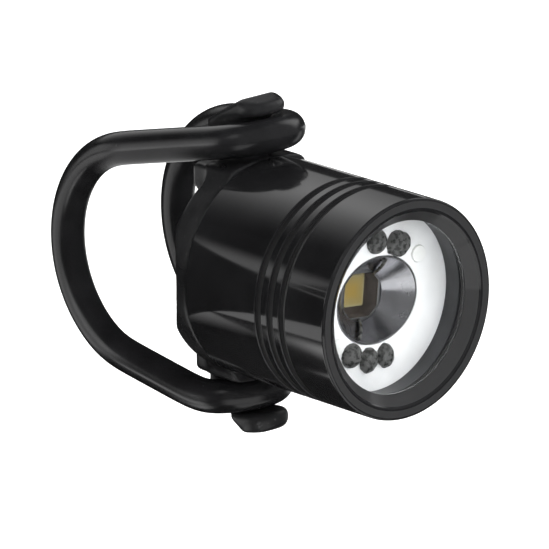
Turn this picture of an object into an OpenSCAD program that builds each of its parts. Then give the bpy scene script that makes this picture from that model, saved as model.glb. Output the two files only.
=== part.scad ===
// Clip-on bicycle headlight. A round barrel sits on a rubber saddle, and an elastic ring hooked
// over two rubber horns straps it to a handlebar. The front bezel unscrews for the coin cells,
// and pressing the lens moves the whole light engine back onto a switch.
// The light points along -Y, the handlebar runs along X through the origin, and Z is up.

/* [Handlebar seat] */
// Diameter of the handlebar that the saddle fits
bar_d = 25.4; // [22:0.1:32]
// Thinnest rubber between the handlebar and the barrel
pad_t = 2.3; // [1.5:0.1:4]
// Thickness of the round pad at its rim
pad_depth = 4.5; // [3.5:0.1:6]
// How much smaller the pad's radius is than the barrel's
pad_step = 0.3; // [0.1:0.1:1]
// Width of the horn roots that reach back over the handlebar
root_w = 12; // [9:0.5:14]
// How far the horn roots reach back from the pad's front face
root_depth = 8.8; // [7:0.1:10]

/* [Hooks] */
// Width of the hook's neck, inside the strap's loop
neck_w = 6.8; // [5:0.1:8]
// Distance of the upper neck's round front from the pad's front face
top_setback = 1.0; // [0.5:0.1:2]
// Distance of the lower neck's round front from the pad's front face
bottom_setback = 4.0; // [3:0.1:5]
// How far the tongue's tip stands in front of the pad
tongue_reach = 1.6; // [1:0.1:2.5]
// Height of the tongue at its tip
tongue_t = 2.1; // [1.5:0.1:3]
// Length of the tongue's tip, in front of its crest
tongue_nose = 3.6; // [2:0.1:4]
// Rise of the tongue's back, from its rear edge to its crest
tongue_rise = 4.0; // [3:0.1:5]

/* [Strap] */
// Thickness of the round elastic cord
strap_d = 4.8; // [3:0.1:6]
// Distance of each strand from the middle, where it lies on the handlebar
strand_x = 10.1; // [9:0.1:13]
// Height of the upper loop above the pad's rim, beside the neck
top_lift = 0.4; // [0.2:0.1:2]
// Height of the lower loop below the pad's rim, beside the neck
bottom_lift = 1.6; // [1.2:0.1:3]
// Rise of the upper loop from the neck's side to its front
top_tilt = 1.2; // [0:0.1:2]
// Return of the lower loop towards the barrel, from the neck's side to its front
bottom_tilt = 0.8; // [0:0.1:1]
// Play between the strap and what it lies against
strap_gap = 0.25; // [0.2:0.05:0.5]

/* [Barrel] */
// Outer diameter of the barrel and the bezel
body_d = 30.6; // [30:0.1:36]
// Wall of the barrel
barrel_wall = 1.95; // [1.6:0.05:2.4]
// Thickness of the barrel's rear wall
back_t = 1.4; // [1:0.1:2]
// Number of turned grooves, the last of which hides the parting line
groove_count = 3; // [2:1:4]
// Spacing of the grooves
groove_pitch = 2.37; // [2:0.01:3]
// Width of a groove
groove_w = 1.15; // [0.8:0.05:1.4]
// Depth of a groove
groove_depth = 0.42; // [0.2:0.02:0.6]
// Length of the threaded neck that the bezel screws onto
thread_len = 4.2; // [3:0.1:5]
// Wall of the threaded neck
thread_wall = 0.65; // [0.5:0.05:0.8]
// Radial play in the thread
thread_gap = 0.08; // [0.05:0.01:0.1]

/* [Bezel] */
// Length of the bezel, in front of its seal
bezel_len = 8; // [7:0.1:10]
// Width of the flat front rim
rim_w = 1.7; // [1:0.1:2.4]
// Depth of the sloped lip inside the rim
lip_depth = 1.45; // [1:0.05:2]
// Thickness of the lip at its inner edge
lip_edge = 0.45; // [0.3:0.05:0.8]
// How far the lip reaches in over the lens
lip_reach = 1.4; // [1:0.1:2]
// Thickness of the flat seal behind the bezel
seal_t = 0.5; // [0.3:0.05:0.8]
// Edge break on the barrel and the bezel
edge_break = 0.25; // [0.1:0.05:0.4]

/* [Light engine] */
// Thickness of the lens
lens_t = 1.5; // [1:0.1:2.5]
// Thickness of the gasket between the lens and the lip
gasket_t = 0.45; // [0.3:0.05:0.8]
// Width of the gasket
gasket_w = 1.2; // [0.8:0.1:1.6]
// Space between the lens and the driver board
lens_gap = 2.7; // [2:0.1:5]
// Wall of the black ring that carries the lens
spacer_wall = 0.6; // [0.4:0.05:1]
// Thickness of the white driver board
driver_t = 1.0; // [0.6:0.1:1.6]
// Half of the width of the reflector's oval front opening
cup_half_w = 7.0; // [6.4:0.1:7.2]
// Half of the height of the reflector's oval front opening
cup_half_h = 5.8; // [5.6:0.1:6.2]
// Radius of the reflector's opening round the emitter
cup_back_r = 3.6; // [3.6:0.1:4]
// Depth of the reflector
cup_depth = 3.15; // [2.8:0.05:4]
// How far the reflector's rim stands in front of the driver board
cup_rise = 0; // [0:0.05:0.1]
// Wall of the reflector
cup_t = 0.3; // [0.2:0.05:0.5]
// Width of a black part on the driver board
chip_w = 3.2; // [2:0.1:3.4]
// Height of a black part on the driver board
chip_h = 1.3; // [0.8:0.1:1.8]
// Room for the corners of the black parts beside the reflector
chip_room = 0.25; // [0.25:0.05:0.5]
// How far the rivets stand outside the ring of the black parts
rivet_out = 0.9; // [0.8:0.1:1.2]
// Angle between neighbouring parts on the driver board
chip_pitch = 28; // [26:1:30]
// Angle of the first part of each group, from the X axis
chip_start = 90; // [80:1:100]
// Thickness of the metal-cored board under the emitter
led_board_t = 0.9; // [0.6:0.1:1.6]
// Width of the emitter's dark base
led_base_w = 9.0; // [8:0.1:9.4]
// Thickness of the emitter's dark base
led_base_t = 3.3; // [2.8:0.05:3.8]
// Width of the well in the base, which the emitter sits in
well_w = 6.1; // [5.8:0.1:6.2]
// Width of the well across its cut corners
well_corner_w = 6.8; // [6.75:0.05:6.85]
// Width of the yellow emitter
emitter_w = 4.5; // [3:0.1:4.5]
// Thickness of the yellow emitter
emitter_t = 0.4; // [0.2:0.05:0.6]
// Depth of the emitter's face below the base's front
emitter_sink = 1.85; // [0.5:0.05:2]
// Height of the emitter's middle above the light's axis
emitter_up = 0.2; // [0:0.05:0.2]
// Turn of the emitter and its well about the light's axis
emitter_turn = -6; // [-12:1:12]
// Wall of the engine's housing
engine_wall = 1.0; // [0.8:0.1:1.4]
// Thickness of the engine's floor
engine_floor = 0.8; // [0.6:0.1:1.5]
// Diameter of a jumper wire
wire_d = 0.8; // [0.5:0.1:1.2]

/* [Switch] */
// Travel of the lens when it is pressed
press_travel = 0.5; // [0.3:0.05:0.6]
// Width of the switch
switch_w = 4.5; // [4:0.1:6]
// Height of the switch without its plunger
switch_h = 1.5; // [1.2:0.1:2.5]
// Diameter of the switch's plunger
plunger_d = 2.0; // [1.5:0.1:2.5]
// Thickness of the switch board
switch_board_t = 0.8; // [0.6:0.1:1.2]

/* [Cells] */
// Diameter of a coin cell
cell_d = 20; // [16:0.1:20.4]
// Thickness of a coin cell
cell_t = 3.2; // [1.6:0.1:3.6]
// Wall of the battery tray round the cells
tray_wall = 1.4; // [1:0.1:1.6]
// Thickness of the battery tray's floor
tray_floor = 1.0; // [0.8:0.1:1.5]
// Diameter of the contact leaves
leaf_d = 9; // [5:0.5:10]
// Thickness of a contact leaf
leaf_t = 0.25; // [0.15:0.05:0.4]
// Height of the dimple on a contact leaf
dimple_h = 0.3; // [0.2:0.05:0.5]

/* [Mount screws] */
// Distance of each screw above or below the middle
screw_z = 7.5; // [7.2:0.1:8]
// Diameter of the screw's shank
screw_d = 2.0; // [1.6:0.1:2.4]
// Diameter of the screw's head
head_d = 3.6; // [3.2:0.1:4]
// Height of the screw's head
head_h = 0.8; // [0.6:0.05:1]
// Thickness of the sealing washer
washer_t = 0.4; // [0.3:0.05:0.6]
// Diameter of the brass insert in the rubber
insert_d = 3.6; // [3.2:0.1:3.8]
// Length of the brass insert
insert_len = 2.8; // [2:0.1:3]

/* [Hidden] */

$fn = 96;
// Overlap of a cutting tool past the face that it cuts
cut = 0.5;
// Gap between flat faces that seat on each other
seat = 0.02;
// Radial play of a part that slides or drops into a bore
play = 0.15;

bar_r = bar_d / 2;
body_r = body_d / 2;
pad_r = body_r - pad_step;
bore_r = body_r - barrel_wall;
thread_r = bore_r + thread_wall;
groove_r = body_r - groove_depth;
engine_r = bore_r - play;
shaft_gap = 0.05;

// Distances ahead of the handlebar's axis, from the saddle to the front rim
pad_front = bar_r + pad_t;
barrel_back = pad_front + seat;
bay_back = barrel_back + back_t;
tray_back = bay_back + seat;
tray_top = tray_back + tray_floor;
leaf_back = tray_top + seat;
rear_cell_back = max(leaf_back + leaf_t + dimple_h, bay_back + washer_t + head_h) + seat;
front_cell_back = rear_cell_back + cell_t + seat;
cells_front = front_cell_back + cell_t;
switch_board_back = cells_front + seat + dimple_h + leaf_t + seat;
switch_back = switch_board_back + switch_board_t + seat;
switch_front = switch_back + switch_h;
engine_back = switch_front + press_travel + 2 * seat;
led_board_back = engine_back + engine_floor + seat;
led_base_back = led_board_back + led_board_t + seat;
well_depth = emitter_sink + emitter_t + seat;
emitter_back = led_base_back + led_base_t - well_depth + seat;
cup_back = led_base_back + led_base_t + seat;
cup_front = cup_back + cup_depth;
driver_front = cup_front - cup_rise;
driver_back = driver_front - driver_t;
lens_back = driver_front + lens_gap;
gasket_back = lens_back + lens_t + seat;
lip_back = gasket_back + gasket_t + 2 * seat;
rim_front = lip_back + lip_edge + lip_depth;
bezel_back = rim_front - bezel_len;
shoulder = bezel_back - seal_t - 2 * seat;
thread_front = shoulder + thread_len;
last_groove = shoulder + seal_t / 2 + seat;

// Radii inside the bezel and the light engine
lip_r = bore_r - lip_reach;
rim_inner_r = body_r - rim_w;
engine_bore_r = engine_r - engine_wall;
cup_hole_half_w = cup_half_w - (cup_half_w - cup_back_r) * cup_rise / cup_depth + cup_t + shaft_gap;
cup_hole_half_h = cup_half_h - (cup_half_h - cup_back_r) * cup_rise / cup_depth + cup_t + shaft_gap;
chip_ring_r = cup_half_h + cup_t + play + chip_room + chip_w / 2;
rivet_ring_r = chip_ring_r + rivet_out;
rivet_r = 0.65;
rivet_head_r = 1.2;
rivet_head_h = 0.4;
// Wall of a post round its rivet
post_wall = 0.6;
post_r = rivet_r + post_wall;
// Number of sides of the reflector's oval
oval_steps = 64;

// Sizes that both ends of the strap share
strap_r = strap_d / 2;
neck_r = neck_w / 2;
wrap_r = bar_r + strap_r + strap_gap;
turn_r = neck_r + strap_r + strap_gap;
root_back = pad_front - root_depth;
tip_s = pad_front + tongue_reach;
crest_s = tip_s - tongue_nose;

// Places at one end of the strap, where up is 1 for the upper end and -1 for the lower one.
// The strap leaves the handlebar on a tangent that meets the neck's side.
function neck_s(up) = pad_front - neck_r - (up > 0 ? top_setback : bottom_setback);
function loop_z(up) = pad_r + strap_r + (up > 0 ? top_lift : bottom_lift);
function loop_tilt(up) = up > 0 ? top_tilt : -bottom_tilt;
function leave(up) =
    atan2(loop_z(up), -neck_s(up)) - acos(wrap_r / norm([neck_s(up), loop_z(up)]));

// Heights of one hook, measured from the strap that it holds
function strap_low(up) = loop_z(up) - strap_r / sin(leave(up)) - strap_gap;
function root_top(up) =
    min(strap_low(up) - max(neck_s(up) - root_back, 0) / tan(leave(up)),
        loop_z(up) + loop_tilt(up) - strap_r - strap_gap);
function tongue_under(up) = loop_z(up) + max(loop_tilt(up), 0) + strap_r + strap_gap;
function neck_back(up) = min(root_back, neck_s(up) - neck_r / 2);

// Places a shape that is drawn along +Z so that it runs forward from s
module ahead(s) {
    translate([0, -s, 0])
        rotate([90, 0, 0])
            children();
}

// Ring drawn along +Z
module ring(outer_r, inner_r, t) {
    difference() {
        cylinder(r = outer_r, h = t);
        translate([0, 0, -cut])
            cylinder(r = inner_r, h = t + 2 * cut);
    }
}

// Copies its children above and below the middle
module above_and_below(z) {
    for (side = [-1, 1])
        translate([0, 0, side * z])
            children();
}

// Copies its children to an angle and to the opposite one, on a ring of the board
module opposite_pair(angle, ring_r = chip_ring_r) {
    for (turn = [0, 180])
        rotate([0, 0, angle + turn])
            translate([ring_r, 0, 0])
                children();
}

// Oval plate drawn along +Z
module oval_plate(half_w, half_h, t) {
    linear_extrude(t)
        polygon([for (i = [0 : oval_steps - 1])
            let (turn = 360 * i / oval_steps) [half_w * cos(turn), half_h * sin(turn)]]);
}

// Points of the strap's centre line on the handlebar, on the straight run and round the neck
function on_bar(x, angle) = [x, wrap_r * cos(angle), wrap_r * sin(angle)];
function on_run(side, t, up) =
    [side * (strand_x + (turn_r - strand_x) * t),
     wrap_r * cos(leave(up)) * (1 - t) - neck_s(up) * t,
     up * (wrap_r * sin(leave(up)) * (1 - t) + loop_z(up) * t)];
function on_turn(angle, up) =
    [up * turn_r * cos(angle), -neck_s(up) - turn_r * sin(angle),
     up * (loop_z(up) + loop_tilt(up) * sin(angle))];

bar_steps = 22;
run_steps = 8;
turn_steps = 12;
// One strand on the handlebar, upwards where side is 1 and downwards where it is -1
function strand(side) =
    [for (i = [0 : bar_steps - 1])
        let (t = i / bar_steps)
        on_bar(side * strand_x, side * (leave(side) * t - leave(-side) * (1 - t)))];
// One end of the loop, from a strand's leaving point to the other strand's
function loop_end(up) = concat(
    [for (i = [0 : run_steps - 1]) on_run(up, i / run_steps, up)],
    [for (i = [0 : turn_steps - 1]) on_turn(180 * i / turn_steps, up)],
    [for (i = [0 : run_steps - 1]) on_run(-up, 1 - i / run_steps, up)]);
// Rounds the corners of a closed line by averaging neighbours
function eased(line, passes) =
    passes == 0 ? line :
    eased([for (i = [0 : len(line) - 1])
        (line[(i + len(line) - 1) % len(line)] + 2 * line[i] + line[(i + 1) % len(line)]) / 4], passes - 1);
strap_line = eased(concat(strand(1), loop_end(1), strand(-1), loop_end(-1)), 2);

// Direction that points away from the surface under the strap
function unit(v) = v / norm(v);
function outward(p) =
    let (up = p[2] < 0 ? -1 : 1)
    p[1] > wrap_r * cos(leave(up)) ? unit([0, p[1], p[2]]) : [0, cos(leave(up)), up * sin(leave(up))];

// Closed tube along a closed line
module closed_tube(line, r, sides) {
    n = len(line);
    points = [for (i = [0 : n - 1])
        let (along = unit(line[(i + 1) % n] - line[(i + n - 1) % n]),
             out = outward(line[i]),
             u = unit(out - (out * along) * along),
             v = cross(along, u))
        for (k = [0 : sides - 1])
            line[i] + r * (cos(360 * k / sides) * u + sin(360 * k / sides) * v)];
    faces = [for (i = [0 : n - 1], k = [0 : sides - 1])
        let (a = i * sides + k,
             b = i * sides + (k + 1) % sides,
             c = ((i + 1) % n) * sides + (k + 1) % sides,
             d = ((i + 1) % n) * sides + k)
        each [[a, c, b], [a, d, c]]];
    polyhedron(points, faces);
}

// One hook, drawn upwards: root, neck and tongue
module hook(up) {
    under = tongue_under(up);
    top = under + tongue_t;
    back = neck_back(up);
    round_s = tip_s - neck_r;
    // Root that carries the neck, below the strap
    translate([-root_w / 2, -pad_front, 0])
        cube([root_w, root_depth, root_top(up)]);
    intersection() {
        // Side outline of the neck and the tongue
        rotate([90, 0, -90])
            linear_extrude(neck_w, center = true)
                polygon([[back, 0], [back, top - tongue_rise], [crest_s, top],
                         [tip_s - tongue_t / 2, top - tongue_t / 6], [tip_s, top - tongue_t / 2],
                         [tip_s, under], [tip_s, 0]]);
        // Plan outline with a round tip
        union() {
            translate([-neck_w / 2, -round_s, 0])
                cube([neck_w, round_s - back, top]);
            translate([0, -round_s, 0])
                cylinder(r = neck_r, h = top);
        }
        // The neck's own front is round where the loop turns about it
        union() {
            translate([-neck_w / 2, -neck_s(up), 0])
                cube([neck_w, neck_s(up) - back, top]);
            translate([0, -neck_s(up), 0])
                cylinder(r = neck_r, h = top);
            translate([-neck_w / 2, -tip_s, under])
                cube([neck_w, tip_s - back, tongue_t]);
        }
    }
}

// Rubber saddle with the round pad behind the barrel and a hook above and below
module rubber_mount() {
    color([0.05, 0.05, 0.055])
    difference() {
        union() {
            ahead(pad_front - pad_depth)
                cylinder(r = pad_r, h = pad_depth);
            hook(1);
            mirror([0, 0, 1])
                hook(-1);
        }
        rotate([0, 90, 0])
            cylinder(r = bar_r, h = 2 * body_d, center = true);
        above_and_below(screw_z)
            ahead(pad_front - insert_len - seat)
                cylinder(d = insert_d + 2 * seat, h = insert_len + cut);
    }
}

// Elastic ring that loops over both hooks and passes behind the handlebar
module strap_ring() {
    color([0.06, 0.06, 0.065])
    closed_tube(strap_line, strap_r, 10);
}

// Brass inserts moulded into the rubber
module mount_inserts() {
    color([0.72, 0.55, 0.28])
    above_and_below(screw_z)
        ahead(pad_front - insert_len)
            ring(insert_d / 2, screw_d / 2 + shaft_gap, insert_len);
}

// Screws that hold the rubber saddle to the barrel, driven from inside
module mount_screws() {
    color([0.62, 0.63, 0.65])
    above_and_below(screw_z) {
        ahead(pad_front - insert_len + seat)
            cylinder(d = screw_d, h = bay_back + washer_t + seat - pad_front + insert_len - seat);
        ahead(bay_back + washer_t + 2 * seat)
            difference() {
                cylinder(d = head_d, h = head_h - 2 * seat);
                for (turn = [0, 90])
                    rotate([0, 0, turn])
                        translate([-head_d / 3, -head_d / 12, head_h / 2])
                            cube([head_d * 2 / 3, head_d / 6, head_h]);
            }
    }
}

// Sealing washers under the screw heads
module sealing_washers() {
    color([0.15, 0.15, 0.15])
    above_and_below(screw_z)
        ahead(bay_back + seat)
            ring(head_d / 2, screw_d / 2 + shaft_gap, washer_t);
}

// Turned barrel, closed at the back, with a thinner threaded neck in front
module barrel() {
    color([0.03, 0.03, 0.035])
    difference() {
        union() {
            ahead(barrel_back)
                rotate_extrude()
                    polygon([[0, 0], [body_r - edge_break, 0], [body_r, edge_break],
                             [body_r, shoulder - barrel_back], [0, shoulder - barrel_back]]);
            ahead(shoulder - cut)
                cylinder(r = thread_r, h = thread_len + cut);
        }
        ahead(bay_back)
            cylinder(r = bore_r, h = thread_front - bay_back + cut);
        for (i = [0 : groove_count - 1])
            ahead(last_groove - i * groove_pitch - groove_w / 2)
                ring(body_r + cut, min(groove_r, body_r - edge_break / 2), groove_w);
        above_and_below(screw_z)
            ahead(barrel_back - cut)
                cylinder(r = screw_d / 2 + shaft_gap, h = back_t + 2 * cut);
    }
}

// Tray that holds the cells against the barrel's rear wall
module battery_tray() {
    color([0.12, 0.12, 0.13])
    difference() {
        union() {
            ahead(tray_back)
                cylinder(r = engine_r, h = tray_floor);
            ahead(tray_top - seat)
                cylinder(r = cell_d / 2 + play + tray_wall, h = switch_board_back - tray_top);
        }
        ahead(tray_top)
            cylinder(r = cell_d / 2 + play, h = switch_board_back - tray_back);
        above_and_below(screw_z)
            ahead(tray_back - cut)
                cylinder(r = head_d / 2 + play, h = tray_floor + 2 * cut);
    }
}

// Contact leaf with a dimple, drawn along +Z
module leaf() {
    cylinder(d = leaf_d, h = leaf_t);
    cylinder(d = leaf_d / 4, h = leaf_t + dimple_h);
}

// Leaf on the tray's floor, under the rear cell
module contact_negative() {
    color([0.78, 0.76, 0.7])
    ahead(leaf_back)
        leaf();
}

// Coin cell with its stepped negative cap towards the back, drawn along +Z
module coin_cell() {
    cap_h = 0.5;
    rim = 1.1;
    cylinder(r = cell_d / 2 - rim, h = cell_t);
    translate([0, 0, cap_h])
        cylinder(d = cell_d, h = cell_t - cap_h);
}

// Rear coin cell
module rear_cell() {
    color([0.75, 0.76, 0.77])
    ahead(rear_cell_back)
        coin_cell();
}

// Front coin cell
module front_cell() {
    color([0.75, 0.76, 0.77])
    ahead(front_cell_back)
        coin_cell();
}

// Leaf behind the switch board, on the front cell
module contact_positive() {
    color([0.78, 0.76, 0.7])
    ahead(switch_board_back - seat)
        mirror([0, 0, 1])
            leaf();
}

// Board that closes the tray and carries the switch
module switch_board() {
    color([0.05, 0.28, 0.14])
    ahead(switch_board_back)
        cylinder(r = cell_d / 2 + play + tray_wall, h = switch_board_t);
}

// Switch with a blind bore for its plunger
module switch_body() {
    color([0.1, 0.1, 0.1])
    ahead(switch_back)
        difference() {
            translate([-switch_w / 2, -switch_w / 2, 0])
                cube([switch_w, switch_w, switch_h]);
            translate([0, 0, switch_h - 2 * press_travel - seat])
                cylinder(r = plunger_d / 2 + shaft_gap, h = 2 * press_travel + cut);
        }
}

// Plunger that the engine's floor pushes in
module switch_plunger() {
    color([0.85, 0.85, 0.8])
    ahead(switch_front - press_travel)
        cylinder(d = plunger_d, h = engine_back - seat - switch_front + press_travel);
}

// Flat seal between the barrel's shoulder and the bezel
module bezel_seal() {
    color([0.1, 0.1, 0.1])
    ahead(shoulder + seat)
        ring(groove_r - seat, thread_r + thread_gap, seal_t);
}

// Bezel that screws onto the barrel's neck and frames the lens
module front_bezel() {
    color([0.03, 0.03, 0.035])
    ahead(bezel_back)
        rotate_extrude()
            polygon([[thread_r + thread_gap, 0], [groove_r, 0], [groove_r, (groove_w - seal_t) / 2],
                     [body_r, (groove_w - seal_t) / 2], [body_r, bezel_len - edge_break],
                     [body_r - edge_break, bezel_len], [rim_inner_r, bezel_len],
                     [lip_r, bezel_len - lip_depth], [lip_r, lip_back - bezel_back],
                     [bore_r, lip_back - bezel_back], [bore_r, thread_front + play - bezel_back],
                     [thread_r + thread_gap, thread_front + play - bezel_back]]);
}

// Clear flat lens
module lens() {
    color([0.9, 0.95, 1, 0.35])
    ahead(lens_back + seat)
        rotate_extrude()
            polygon([[0, 0], [engine_r, 0], [engine_r, lens_t - seat - edge_break],
                     [engine_r - edge_break, lens_t - seat], [0, lens_t - seat]]);
}

// Gasket between the lens and the bezel's lip
module lens_gasket() {
    color([0.08, 0.08, 0.08])
    ahead(gasket_back)
        ring(engine_r, engine_r - gasket_w, gasket_t);
}

// Black ring between the driver board and the lens
module spacer_ring() {
    color([0.05, 0.05, 0.05])
    ahead(driver_front + seat)
        ring(engine_r, engine_r - spacer_wall, lens_gap - seat);
}

// White board round the reflector
module driver_board() {
    color([0.93, 0.93, 0.92])
    ahead(driver_back)
        difference() {
            cylinder(r = engine_r, h = driver_t);
            translate([0, 0, -cut])
                oval_plate(cup_hole_half_w, cup_hole_half_h, driver_t + 2 * cut);
            opposite_pair(chip_start - 2 * chip_pitch, rivet_ring_r)
                translate([0, 0, -cut])
                    cylinder(r = rivet_r + shaft_gap, h = driver_t + 2 * cut);
        }
}

// Black parts on the driver board, two on each side
module board_chips() {
    color([0.06, 0.06, 0.05])
    ahead(driver_front + seat)
        for (i = [0, 1])
            opposite_pair(chip_start - i * chip_pitch) {
                translate([-chip_w / 2, -chip_w / 2, 0])
                    cube([chip_w, chip_w, chip_h / 2]);
                cylinder(d = chip_w, h = chip_h);
            }
}

// Rivets that hold the driver board on the housing's posts
module board_rivets() {
    color([0.95, 0.95, 0.93])
    ahead(driver_front)
        opposite_pair(chip_start - 2 * chip_pitch, rivet_ring_r) {
            translate([0, 0, seat])
                cylinder(r = rivet_head_r, h = rivet_head_h);
            translate([0, 0, -2 * driver_t])
                cylinder(r = rivet_r, h = 2 * driver_t + seat + rivet_head_h / 2);
        }
}

// Solid that widens from the reflector's round back to its oval front
module cup_form(grow, back, front) {
    hull() {
        translate([0, 0, back])
            oval_plate(cup_back_r + grow, cup_back_r + grow, seat);
        translate([0, 0, front - seat])
            oval_plate(cup_half_w + grow, cup_half_h + grow, seat);
    }
}

// Bright reflector round the emitter, with an oval front
module reflector() {
    color([0.8, 0.81, 0.83])
    ahead(cup_back)
        difference() {
            cup_form(cup_t, 0, cup_depth);
            cup_form(0, -seat, cup_depth + seat);
        }
}

// Square plate centred on the axis, drawn along +Z
module square_plate(w, t) {
    translate([-w / 2, -w / 2, 0])
        cube([w, w, t]);
}

// Yellow light-emitting square
module emitter() {
    color([0.95, 0.82, 0.35])
    ahead(emitter_back)
        translate([0, emitter_up, 0])
            rotate([0, 0, emitter_turn])
                square_plate(emitter_w, emitter_t);
}

// Dark base with a well for the emitter, whose corners are cut
module led_base() {
    half = well_w / 2;
    end = well_corner_w * sqrt(2) / 2 - half;
    color([0.2, 0.15, 0.1])
    ahead(led_base_back)
        difference() {
            square_plate(led_base_w, led_base_t);
            translate([0, 0, led_base_t - well_depth])
                rotate([0, 0, emitter_turn])
                    linear_extrude(well_depth + cut)
                        polygon([[half, -end], [half, end], [end, half], [-end, half],
                                 [-half, end], [-half, -end], [-end, -half], [end, -half]]);
        }
}

// Metal-cored board that spreads the emitter's heat, with holes for the housing's posts
module led_board() {
    color([0.7, 0.71, 0.72])
    ahead(led_board_back)
        difference() {
            cylinder(r = engine_bore_r - play, h = led_board_t);
            opposite_pair(chip_start - 2 * chip_pitch, rivet_ring_r)
                translate([0, 0, -cut])
                    cylinder(r = post_r + play, h = led_board_t + 2 * cut);
        }
}

// Two stiff wires that join the boards
module jumper_wires() {
    color([0.7, 0.1, 0.08])
    ahead(led_base_back)
        opposite_pair(0)
            cylinder(d = wire_d, h = driver_back - seat - led_base_back);
}

// Cup that carries the boards and slides in the barrel
module engine_housing() {
    color([0.1, 0.1, 0.11])
    ahead(engine_back)
        difference() {
            union() {
                difference() {
                    cylinder(r = engine_r, h = driver_back - seat - engine_back);
                    translate([0, 0, engine_floor])
                        cylinder(r = engine_bore_r, h = driver_back - engine_back);
                }
                opposite_pair(chip_start - 2 * chip_pitch, rivet_ring_r)
                    cylinder(r = post_r, h = driver_back - seat - engine_back);
            }
            opposite_pair(chip_start - 2 * chip_pitch, rivet_ring_r)
                translate([0, 0, engine_floor + led_board_t])
                    cylinder(r = rivet_r + shaft_gap, h = driver_back - engine_back);
        }
}

rubber_mount();
strap_ring();
mount_inserts();
mount_screws();
sealing_washers();
barrel();
battery_tray();
contact_negative();
rear_cell();
front_cell();
contact_positive();
switch_board();
switch_body();
switch_plunger();
bezel_seal();
front_bezel();
lens();
lens_gasket();
spacer_ring();
driver_board();
board_chips();
board_rivets();
reflector();
emitter();
led_base();
led_board();
jumper_wires();
engine_housing();
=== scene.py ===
"""Looks of a strap-on bicycle headlight, built in the frame of its CAD model.

Sizes in the classes are millimetres, and the meshes are written in metres. The light points
along -Y, so a place along its axis is given as a distance ahead of the handlebar's axis.
"""
import logging
import math
from collections.abc import Callable, Sequence
from dataclasses import dataclass, field
from enum import Enum

import bmesh
import bpy
import numpy as np
from mathutils import Matrix, Vector


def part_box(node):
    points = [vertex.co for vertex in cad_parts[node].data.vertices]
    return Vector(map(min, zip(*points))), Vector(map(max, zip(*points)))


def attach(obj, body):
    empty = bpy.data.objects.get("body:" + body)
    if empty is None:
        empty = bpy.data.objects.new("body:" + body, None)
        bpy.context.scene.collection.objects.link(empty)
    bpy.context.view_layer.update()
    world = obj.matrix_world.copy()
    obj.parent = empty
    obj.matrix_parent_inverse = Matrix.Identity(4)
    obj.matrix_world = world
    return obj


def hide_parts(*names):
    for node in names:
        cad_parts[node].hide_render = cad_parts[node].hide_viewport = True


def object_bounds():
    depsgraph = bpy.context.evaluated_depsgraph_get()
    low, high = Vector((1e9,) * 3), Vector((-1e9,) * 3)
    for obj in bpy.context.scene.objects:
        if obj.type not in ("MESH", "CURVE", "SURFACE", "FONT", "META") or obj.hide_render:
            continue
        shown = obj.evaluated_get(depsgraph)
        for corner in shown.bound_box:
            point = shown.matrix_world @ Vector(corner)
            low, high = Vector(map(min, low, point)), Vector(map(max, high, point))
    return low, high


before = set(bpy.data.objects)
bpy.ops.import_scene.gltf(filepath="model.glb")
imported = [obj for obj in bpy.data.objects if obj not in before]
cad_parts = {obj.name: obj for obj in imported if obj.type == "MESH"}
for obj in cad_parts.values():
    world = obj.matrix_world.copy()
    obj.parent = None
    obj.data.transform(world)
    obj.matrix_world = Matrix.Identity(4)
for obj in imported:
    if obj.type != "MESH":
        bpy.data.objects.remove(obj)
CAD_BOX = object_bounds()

LOG = logging.getLogger("headlight")
MM = 0.001
# Points round a large and a small turned piece
ROUND_STEPS = 192
SMALL_STEPS = 48
# Radius where an outline that runs in to the axis ends
AXIS_R = 0.02
Colour = tuple[float, float, float]
Pair = tuple[float, float]
Array = np.ndarray
Piece = bpy.types.Object
Socket = bpy.types.NodeSocket
Outputs = bpy.types.NodeOutputs


class Body(Enum):
    """Bodies of the frame that the pieces ride on."""

    HOUSING = "housing"
    ENGINE = "light_engine"
    CARRIER = "bezel_carrier"
    BEZEL = "bezel"


class Slot(Enum):
    """Material slots of the record."""

    MOUNT = "mount_rubber"
    STRAP = "strap_rubber"
    SEAL = "seal_rubber"
    BLACK = "black_metal"
    BRASS = "brass"
    STEEL = "steel"
    CONTACT = "contact_metal"
    INNER = "inner_plastic"
    PALE = "pale_plastic"
    GREEN = "green_board"
    WHITE = "white_board"
    CHIP = "chip_black"
    LENS = "lens_clear"
    BRIGHT = "bright_metal"
    PHOSPHOR = "phosphor"
    BROWN = "led_brown"
    BOARD_METAL = "board_metal"
    WIRE = "wire_red"


class Light(Enum):
    """What a card does: it lights surfaces softly, shows in gloss, or both."""

    SOFT = "soft"
    MIRRORED = "mirrored"
    BOTH = "both"


class Effect(Enum):
    """Surface effects that several finishes share."""

    MOTTLE = "mottled tone"
    GRAIN = "fine grain"
    TURNING = "turning lines"
    WEAR = "edge wear"
    DUST = "dust specks"


# Meshes


def circle(steps: int) -> Array:
    """Angles of equal steps once round."""
    return np.linspace(0, 2 * math.pi, steps, endpoint=False)


def about_axis(ahead: float | Array, radius: Array, turn: Array) -> Array:
    """Points at a distance ahead, a radius and an angle about the light's axis."""
    return np.stack(np.broadcast_arrays(radius * np.cos(turn), -ahead, radius * np.sin(turn)), -1)


def unit(rows: Array) -> Array:
    """Rows of vectors, each brought to length 1."""
    return rows / np.linalg.norm(rows, axis=1, keepdims=True)


def tube(line: Array, along: Array, out: Array, radius: Array) -> Array:
    """Sweeps a round section along a line.

    Args:
        line: Points of the centre line.
        along: Direction of the line at each of them.
        out: Direction that the section starts from at each of them.
        radius: Radius at each point of the section.

    Returns:
        Points in millimetres, as rings by points by three.
    """
    along = unit(along)
    out = unit(out - (out * along).sum(1, keepdims=True) * along)
    side = np.cross(along, out)
    turn = circle(len(radius))[None, :, None]
    away = np.cos(turn) * out[:, None] + np.sin(turn) * side[:, None]
    return line[:, None] + radius[None, :, None] * away


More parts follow.
